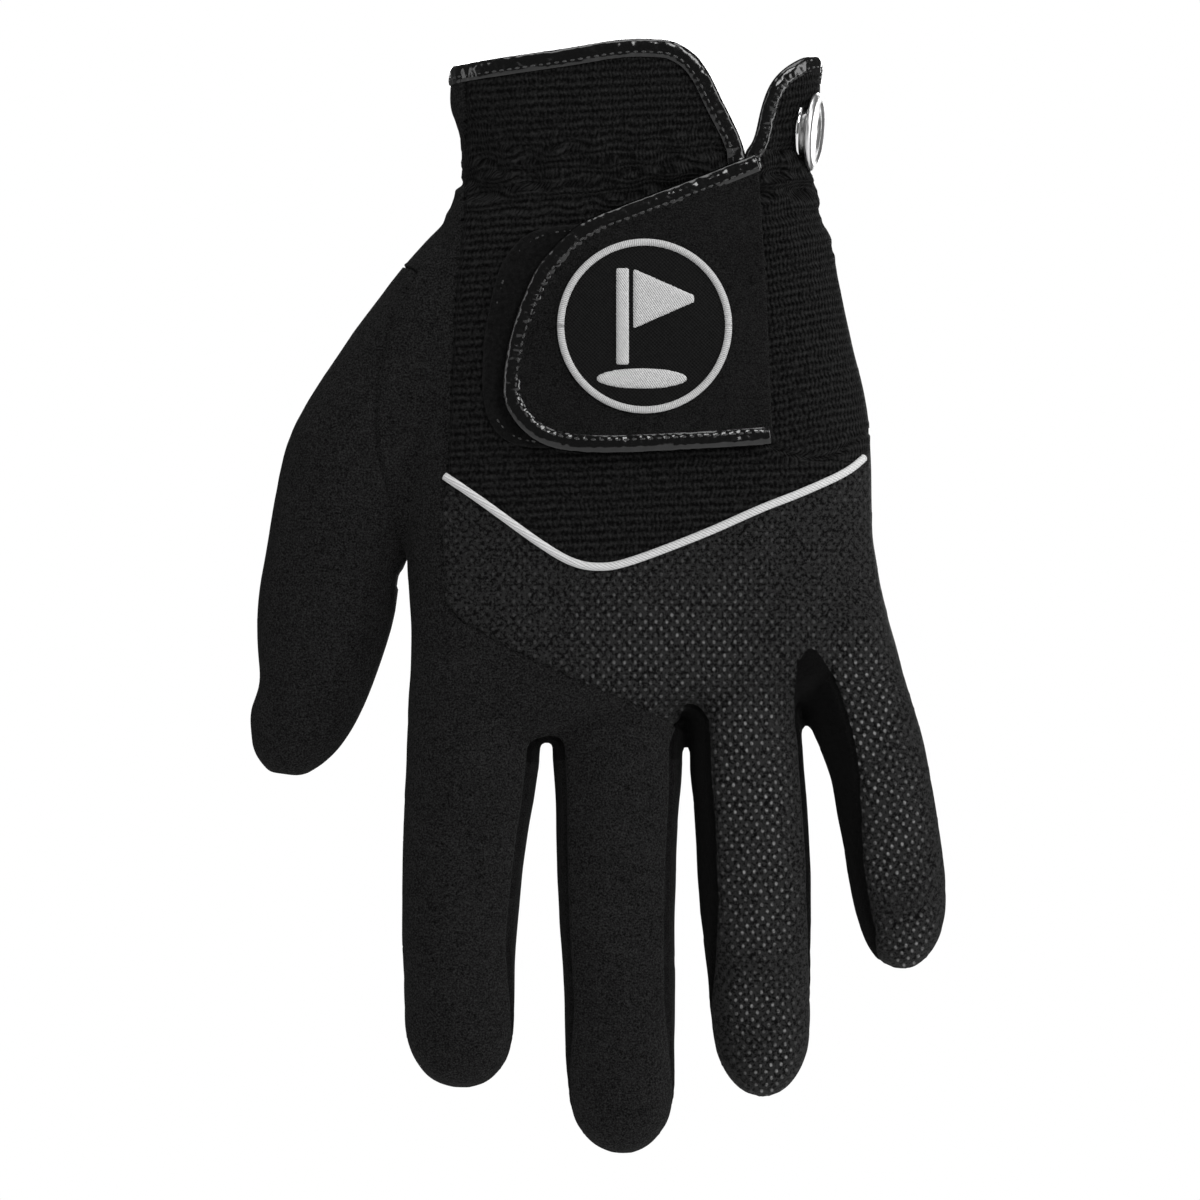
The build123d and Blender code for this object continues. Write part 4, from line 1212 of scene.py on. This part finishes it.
def strip(path, normals, profile, wobble=0.0, seed=1, pucker=None):
    """A band swept along a path. profile is a closed list of (into the cloth, out of the cloth)."""
    path, normals = np.asarray(path), np.asarray(normals)
    tangent = np.gradient(path, axis=0)
    tangent /= np.linalg.norm(tangent, axis=1)[:, None]
    normals = normals - (normals * tangent).sum(axis=1)[:, None] * tangent
    normals /= np.linalg.norm(normals, axis=1)[:, None]
    inward = np.cross(tangent, normals)
    profile = np.asarray(profile)
    verts = np.stack([path + inward * into + normals * outof for into, outof in profile], axis=1)
    if wobble:
        flat = verts.reshape(-1, 3)
        noise_value = waves(flat, 2.6, seed, 9) * 0.6 + waves(flat, 5.5, seed + 1, 7) * 0.6
        face_out = np.repeat((profile[:, 1] > 0.05).astype(float)[None], len(path), axis=0).ravel()
        flat = flat + np.repeat(normals, len(profile), axis=0) * (wobble * noise_value * face_out)[:, None]
        verts = flat.reshape(verts.shape)
    if pucker:
        depth, pitch, row = pucker
        along = np.concatenate([[0], np.cumsum(np.linalg.norm(np.diff(path, axis=0), axis=1))])
        for j, (into, outof) in enumerate(profile):
            if outof > 0.2:
                drawn = 0.6 + 0.4 * np.cos(along * 2 * math.pi / pitch)
                pull = depth * math.exp(-((abs(into) - row) / 0.7) ** 2) * drawn
                verts[:, j] -= normals * pull[:, None]
    n, m = verts.shape[:2]
    faces = [(i * m + j, i * m + (j + 1) % m, (i + 1) * m + (j + 1) % m, (i + 1) * m + j)
             for i in range(n - 1) for j in range(m)]
    faces.append(tuple(reversed(range(m))))
    faces.append(tuple((n - 1) * m + j for j in range(m)))
    return verts.reshape(-1, 3), faces


STITCH_RADIUS = 0.2


def stitch_row(path, normals, spacing, length, radius=STITCH_RADIUS):
    """Short rounded threads end to end along a path."""
    total = path_length(path)
    count = max(2, int(total / spacing))
    both = resample(np.hstack([path, normals]), count * 2 + 1)
    fine, fine_n = both[:, :3], both[:, 3:]
    verts, faces = [], []
    for i in range(count):
        centre, normal = fine[2 * i + 1], fine_n[2 * i + 1]
        normal = normal / np.linalg.norm(normal)
        along = fine[2 * i + 2] - fine[2 * i]
        along = along / max(np.linalg.norm(along), 1e-9)
        across = np.cross(normal, along)
        base = len(verts)
        for t in (-1.0, -0.8, -0.35, 0.0, 0.35, 0.8, 1.0):
            r = radius * math.sqrt(max(0.0, 1 - (abs(t) ** 3))) + 0.01
            dip = -0.55 * radius * abs(t) ** 2
            for k in range(6):
                a = 2 * math.pi * k / 6
                verts.append(centre + along * t * length / 2 + across * r * math.cos(a)
                             + normal * (dip + r * math.sin(a)))
        for j in range(6):
            for k in range(6):
                a, b = base + j * 6 + k, base + j * 6 + (k + 1) % 6
                faces.append((a, b, b + 6, a + 6))
        faces.append(tuple(base + k for k in reversed(range(6))))
        faces.append(tuple(base + 36 + k for k in range(6)))
    return np.array(verts), faces


def join(parts):
    """Several (verts, faces) as one."""
    verts, faces, base = [], [], 0
    for v, f in parts:
        verts.append(v)
        faces += [tuple(i + base for i in g) for g in f]
        base += len(v)
    return np.vstack(verts), faces


# piping
pipe_path, pipe_normal = on_front(rounded(PIPING, 220)[:-8], flat_tree)
pipe_normal = steady(pipe_normal, 12)
pipe_path = steady(pipe_path, 4)
around = np.linspace(0, 2 * math.pi, 14, endpoint=False)
verts, faces = strip(pipe_path, pipe_normal, [(0.86 * math.cos(a), 0.1 + 0.8 * math.sin(a)) for a in around])
build("piping", verts, faces, "piping", "hand", ["piping"])

# ---------------------------------------------------------------- open edge and its bindings
edge_next = {}
kept = [skin_faces[i] for i in range(len(skin_faces)) if regions[i] != "gap"]
half_edges = {(a, b) for f in kept for a, b in zip(f, f[1:] + f[:1])}
for a, b in half_edges:
    if (b, a) not in half_edges:
        edge_next[a] = b
loops, left = [], dict(edge_next)
while left:
    start = next(iter(left))
    loop, at = [], start
    while at in left:
        loop.append(at)
        at = left.pop(at)
    loops.append(loop)
edge_loop = max(loops, key=len)
edge_points = skin_verts[edge_loop]
edge_normals = skin_normals[edge_loop]
turn = int(np.argmin(np.hypot(edge_points[:, 0] - 26.4, edge_points[:, 2] + 82.0)))
edge_points = np.roll(edge_points, -turn, axis=0)
edge_normals = np.roll(edge_normals, -turn, axis=0)
if edge_points[20, 0] > edge_points[-20, 0]:
    edge_points, edge_normals = edge_points[::-1], edge_normals[::-1]
edge_count = int(path_length(edge_points) / 0.42)
both = resample(np.hstack([edge_points, edge_normals]), edge_count)
edge_points, edge_normals = both[:, :3], both[:, 3:]
edge_points, edge_normals = steady(edge_points, 14), steady(edge_normals, 70)
# the path now runs up the slit's left side, along the cuff, round the palm side and back along the wing
at_left = int(np.argmin(edge_points[:, 0]))
at_right = int(np.argmax(edge_points[:, 0]))


def fold_profile(width, thick=0.55, cloth=0.9):
    """Cross-section of a strip folded over the cloth's edge."""
    return [(width, 0.05), (width - 0.15, thick * 0.8), (width * 0.7, thick), (width * 0.35, thick * 1.05),
            (0.3, thick), (-0.35, thick * 0.35), (-0.6, -cloth * 0.5), (-0.35, -cloth - thick * 0.35),
            (0.3, -cloth - thick), (width * 0.6, -cloth - thick), (width, -cloth - 0.1)]


def binding(name, start, end, width, nodes, flip, seed):
    """A folded strip with its stitches along part of the open edge."""
    path, normal = edge_points[start:end], edge_normals[start:end]
    profile = fold_profile(width)
    if flip:
        profile = [(-a, b) for a, b in profile]
    verts, faces = strip(path, normal, profile, wobble=0.09, seed=seed, pucker=(0.22, 1.7, width * 0.66))
    build(name, verts, faces, "binding", "hand", nodes)
    tangent = np.gradient(path, axis=0)
    tangent /= np.linalg.norm(tangent, axis=1)[:, None]
    inward = np.cross(tangent, normal) * (-1 if flip else 1)
    verts, faces = stitch_row(path + inward * width * 0.66 + normal * 0.4, normal, 1.7, 1.25)
    build(name + "_stitches", verts, faces, "thread", "hand")


tangent_test = edge_points[at_left - 30] - edge_points[at_left - 90]
inward_test = np.cross(tangent_test, edge_normals[at_left - 60])
FLIP = inward_test[2] > 0
slit_top = int(np.argmin(np.hypot(edge_points[:at_left, 0] - 22, edge_points[:at_left, 2] + 20)))
wing_low = at_right + int(np.argmin(np.hypot(edge_points[at_right:, 0] - 22.9, edge_points[at_right:, 2] + 24)))
binding("cuff_binding", max(0, slit_top - 40), at_left, 3.5, ["cuff_binding"], FLIP, 5)
binding("palm_binding", at_left, at_right, 3.2, ["palm_binding"], FLIP, 6)
binding("wing_binding", at_right, wing_low, 2.8, ["wing_binding"], FLIP, 7)

# ---------------------------------------------------------------- closure tab
TAB = [(25.1, -20.8), (12.9, -25.7), (4.3, -28.9), (-4.3, -32.1), (-10.7, -34.7),
       (-15.0, -37.5), (-19.3, -41.8), (-22.5, -46.1), (-25.7, -53.6),
       (-27.9, -61.1), (-28.9, -67.5), (-28.9, -72.9), (-26.8, -77.3),
       (-23.6, -80.6), (-19.3, -82.9), (-12.9, -84.0), (-4.3, -84.2), (8.6, -83.6),
       (19.3, -82.9), (28.2, -82.1)]
TAB_RIGHT = [(28.2, -82.1), (27.6, -68.0), (26.9, -51.0), (25.9, -34.0), (25.1, -20.8)]
tab_free = rounded(TAB, 420)
tab_outline = np.vstack([tab_free, rounded(TAB_RIGHT, 60)[1:-1]])


def tab_shape(xz, inset):
    """The tab swells a little away from its edge, with gentle random waves."""
    return 0.25 * smooth(inset, 0, 9) + 0.12 * waves(np.column_stack([xz, xz[:, 0] * 0]), 19, 31)


TAB_BLEND = ("hand", "tab", (27.2 * MM, -16 * MM, -51.5 * MM), (20.5 * MM, -16 * MM, -51.2 * MM))
verts, faces = patch(tab_outline, 1.7, 2.75, lift=tab_shape, calm=60)
build("tab_panel", verts, faces, "tab_suede", "tab", ["tab_panel"], blend=TAB_BLEND)
tab_tree = BVHTree.FromPolygons([tuple(v) for v in verts], faces)

tab_centre = np.array([-1.0, -58.0])
pull = tab_free - tab_centre
pull /= np.linalg.norm(pull, axis=1)[:, None]
free_path, _ = on_front(tab_free - pull * 0.6, tab_tree)
free_path = steady(free_path, 8)
free_path[:, 1] = steady(free_path[:, 1:2], 150)[:, 0]
free_normal = np.tile([[0.0, -1.0, 0.0]], (len(free_path), 1))
test = np.cross(np.gradient(free_path, axis=0)[200], free_normal[200])
TAB_FLIP = -1 if test[0] < 0 else 1
width = 3.0
profile = [(width, 0.0), (width - 0.1, 0.28), (width * 0.6, 0.46), (width * 0.2, 0.5),
           (-0.5, 0.3), (-0.95, -0.35), (-0.6, -1.3), (0.2, -1.45), (width, -1.25)]
verts, faces = strip(free_path, free_normal, [(a * TAB_FLIP, b) for a, b in profile], wobble=0.07, seed=9,
                     pucker=(0.24, 1.75, 2.0))
build("tab_binding", verts, faces, "binding", "tab", ["tab_binding"], blend=TAB_BLEND)
inward = np.cross(np.gradient(free_path, axis=0), free_normal)
inward = inward / np.linalg.norm(inward, axis=1)[:, None] * TAB_FLIP
verts, faces = stitch_row(free_path + inward * 2.0 + free_normal * 0.3, free_normal, 1.75, 1.3)
build("tab_stitches", verts, faces, "thread", "tab", blend=TAB_BLEND)


def drawn_in(outline, amount):
    """An outline moved towards the tab's centre."""
    d = outline - tab_centre
    r = np.linalg.norm(d, axis=1)[:, None]
    return tab_centre + d * (r - amount) / r


hook = drawn_in(tab_free, 5.5)
hook = hook[hook[:, 0] < 14]
verts, faces = patch(hook, 1.05, 1.65, edge=0.2, calm=60)
build("hook_patch", verts, faces, "hook_plastic", "tab", ["hook_patch"])
LOOP = [(12.0, -30.5), (-6.0, -35.2), (-14.0, -35.6), (-21.0, -36.4), (-26.2, -39.2), (-30.0, -45.0),
        (-32.3, -53.6), (-33.5, -62.1), (-33.5, -72.9), (-31.1, -79.3), (-25.7, -82.8),
        (-14.0, -83.2), (12.0, -82.0)]
loop = rounded(LOOP, 200)
verts, faces = patch(loop, -0.3, 0.75, edge=0.5, calm=40,
                     lift=lambda xz, d: 0.16 * waves(np.column_stack([xz, xz[:, 0] * 0]), 2.2, 41, 9))
build("loop_patch", verts, faces, "loop_fabric", "hand", ["loop_patch"])
loop_edge = rounded([(q[0] + 1.2, q[1] + (-1.2 if q[1] > -60 else 1.2)) for q in LOOP[1:-1]], 150)
loop_path, loop_normal = on_front(loop_edge, flat_tree)
loop_path[:, 1] -= 0.7
verts, faces = stitch_row(steady(loop_path, 4), steady(loop_normal, 20), 1.5, 1.15)
build("loop_patch_stitches", verts, faces, "thread", "hand")

# badge: woven disc, satin ring and a plain golf flag
BADGE = np.array([0.9, -57.4])
RADIUS = 18.6


def disc(radius, count=96):
    """A circle about the badge centre."""
    a = np.linspace(0, 2 * math.pi, count, endpoint=False)
    return BADGE + radius * np.stack([np.cos(a), np.sin(a)], axis=1)


verts, faces = patch(disc(RADIUS - 0.4), -0.1, 0.3, edge=0.15, tree=tab_tree, calm=6)
build("badge_cloth", verts, faces, "badge_cloth", "tab", ["badge_cloth"])
ring_line = disc(RADIUS - 0.75, 181)
ring_line = np.vstack([ring_line, ring_line[:1]])
ring_path, _ = on_front(ring_line, tab_tree)
ring_path[:, 1] = steady(ring_path[:, 1:2], 8)[:, 0]
profile = [(0.78, 0.1), (0.72, 0.5), (0.4, 0.78), (0, 0.86), (-0.4, 0.78), (-0.72, 0.5), (-0.78, 0.1), (0, 0.0)]
verts, faces = strip(ring_path, np.tile([[0.0, -1.0, 0.0]], (len(ring_path), 1)), profile)
angle = np.arctan2(verts[:, 2] - BADGE[1], verts[:, 0] - BADGE[0])
reach = np.hypot(verts[:, 0] - BADGE[0], verts[:, 2] - BADGE[1])
ring_cloth = np.stack([angle * RADIUS, reach, verts[:, 1]], axis=1)
build("badge_ring", verts, faces, "ring_thread", "tab", ["badge_ring"], cloth=ring_cloth)


def puffed(xz, inset):
    """Height of satin stitch."""
    return 0.55 * np.sqrt(np.clip(1 - (1 - np.clip(inset / 1.1, 0, 1)) ** 2, 0, 1))


x0, z0 = BADGE
flag_parts = []
pole = [(x0 - 6.2, z0 + 12.4), (x0 - 3.2, z0 + 12.4), (x0 - 3.2, z0 - 8.4), (x0 - 6.2, z0 - 8.4)]
pennant = [(x0 - 2.6, z0 + 12.4), (x0 + 10.6, z0 + 6.6), (x0 + 10.6, z0 + 5.0), (x0 - 2.6, z0 - 0.8)]
a = np.linspace(0, 2 * math.pi, 40, endpoint=False)
cup = np.stack([x0 - 0.6 + 9.8 * np.cos(a), z0 - 11.2 + 2.3 * np.sin(a)], axis=1)
for outline in (pole, pennant, cup):
    outline = np.asarray(outline)
    if len(outline) < 10:
        outline = resample(np.vstack([outline, outline[:1]]), 80)[:-1]
    flag_parts.append(patch(outline, -0.05, 0.3, step=0.5, edge=0.2, lift=puffed, tree=tab_tree, calm=4))
verts, faces = join(flag_parts)
build("badge_flag", verts, faces, "embroidery", "tab", ["badge_flag"])

# ---------------------------------------------------------------- marker, snap and elastic
NORMAL = np.array([0.973, -0.21, -0.095])
NORMAL /= np.linalg.norm(NORMAL)
MARKER_AT = np.array([35.2, -3.0, -14.8])


def lathe(profile, segments=96):
    """A closed turned piece on the marker's axis. profile is (radius, height), closed."""
    side = np.cross(NORMAL, [0, 0, 1.0])
    side /= np.linalg.norm(side)
    up = np.cross(side, NORMAL)
    verts = []
    for i in range(segments):
        t = 2 * math.pi * i / segments
        ray = side * math.cos(t) + up * math.sin(t)
        verts += [MARKER_AT + ray * max(r, 0.02) + NORMAL * h for r, h in profile]
    m = len(profile)
    faces = [(i * m + j, ((i + 1) % segments) * m + j,
              ((i + 1) % segments) * m + (j + 1) % m, i * m + (j + 1) % m)
             for i in range(segments) for j in range(m)]
    return np.array(verts), faces


R = 8.4
disc_profile = [(0.0, 2.85), (5.2, 2.87), (6.3, 2.9), (6.6, 3.05), (7.3, 3.14), (8.0, 3.0), (R, 2.55), (R, 2.1),
                (8.05, 1.78), (7.2, 1.72), (2.5, 1.72), (0.0, 1.72)]
verts, faces = lathe(disc_profile)
build("marker_disc", verts, faces, "satin_metal", "marker", ["marker_disc"])
verts, faces = lathe([(0, 1.7), (2.35, 1.7), (2.35, -0.7), (2.1, -0.9), (0, -0.9)])
build("marker_stud", verts, faces, "chrome", "marker", ["marker_stud"])
verts, faces = lathe([(2.5, -2.0), (2.5, 0.9), (3.1, 1.35), (4.6, 1.5), (5.6, 1.3), (6.1, 0.7),
                      (6.7, 0.35), (7.0, -0.1), (6.9, -0.5), (5.9, -0.6), (5.9, -2.0)])
build("snap_socket", verts, faces, "chrome", "hand", ["snap_socket"])
verts, faces = lathe([(2.5, -3.3), (2.5, -2.4), (5.6, -2.4), (5.9, -2.7), (5.7, -3.1), (4.8, -3.35)])
build("snap_rivet", verts, faces, "chrome", "hand", ["snap_rivet"])


def elastic_band(start, end, top, foot):
    """A gathered strip inside the wrist between two angles around it; 90 degrees is the middle of the palm."""
    turns, rows = int((end - start) * 0.9), 14
    verts = []
    for a in np.radians(np.linspace(start, end, turns)):
        for z in np.linspace(top, foot, rows):
            left, right, back, palm, square, shift = (float(q) for q in hand_row(z))
            inset = 1.85 + 0.28 * math.sin(a * 46) * math.sin((z - top) / (foot - top) * math.pi)
            u = ((right - left) / 2 - inset) * float(power(np.array(math.cos(a)), 2 / square))
            half = (palm if math.sin(a) > 0 else back) - inset
            v = half * float(power(np.array(math.sin(a)), 2 / square)) + shift
            verts.append([(left + right) / 2 + u, v, z])
    verts = np.array(verts)
    faces = [(i * rows + j, (i + 1) * rows + j, (i + 1) * rows + j + 1, i * rows + j + 1)
             for i in range(turns - 1) for j in range(rows - 1)]
    normals = vertex_normals(verts, faces)
    if (normals[:, :2] * verts[:, :2]).sum() < 0:
        faces = [tuple(reversed(f)) for f in faces]
        normals = -normals
    return shell(verts, faces, normals, 0.5)


palm_strip = elastic_band(3, 177, -28.0, -38.5)
back_strip = elastic_band(183, 292, -18.5, -29.0)
verts, faces = join([palm_strip[:2], back_strip[:2]])
build("wrist_elastic", verts, faces, "elastic", "hand", ["wrist_elastic"],
      normals=np.vstack([palm_strip[2], back_strip[2]]))

# ---------------------------------------------------------------- floor
floor_mesh = bpy.data.meshes.new("floor")
FLOOR_REACH, FLOOR_REAR, FLOOR_LEVEL = 0.8, 0.16, -0.262
floor_corners = [(-FLOOR_REACH, -FLOOR_REACH), (FLOOR_REACH, -FLOOR_REACH), (FLOOR_REACH, FLOOR_REAR),
                 (-FLOOR_REACH, FLOOR_REAR)]
floor_mesh.from_pydata([(x, y, FLOOR_LEVEL) for x, y in floor_corners], [], [(0, 1, 2, 3)])
floor = bpy.data.objects.new("floor", floor_mesh)
scene.collection.objects.link(floor)
floor_mat, floor_tree, floor_shader = material("floor", grey(0.86), 0.9, 0.1)
floor_coord = node(floor_tree, "ShaderNodeTexCoord")
tint(floor_tree, floor_shader, grey(0.84), grey(0.88), noise(floor_tree, floor_coord.outputs["Object"], 3))
floor_mesh.materials.append(floor_mat)
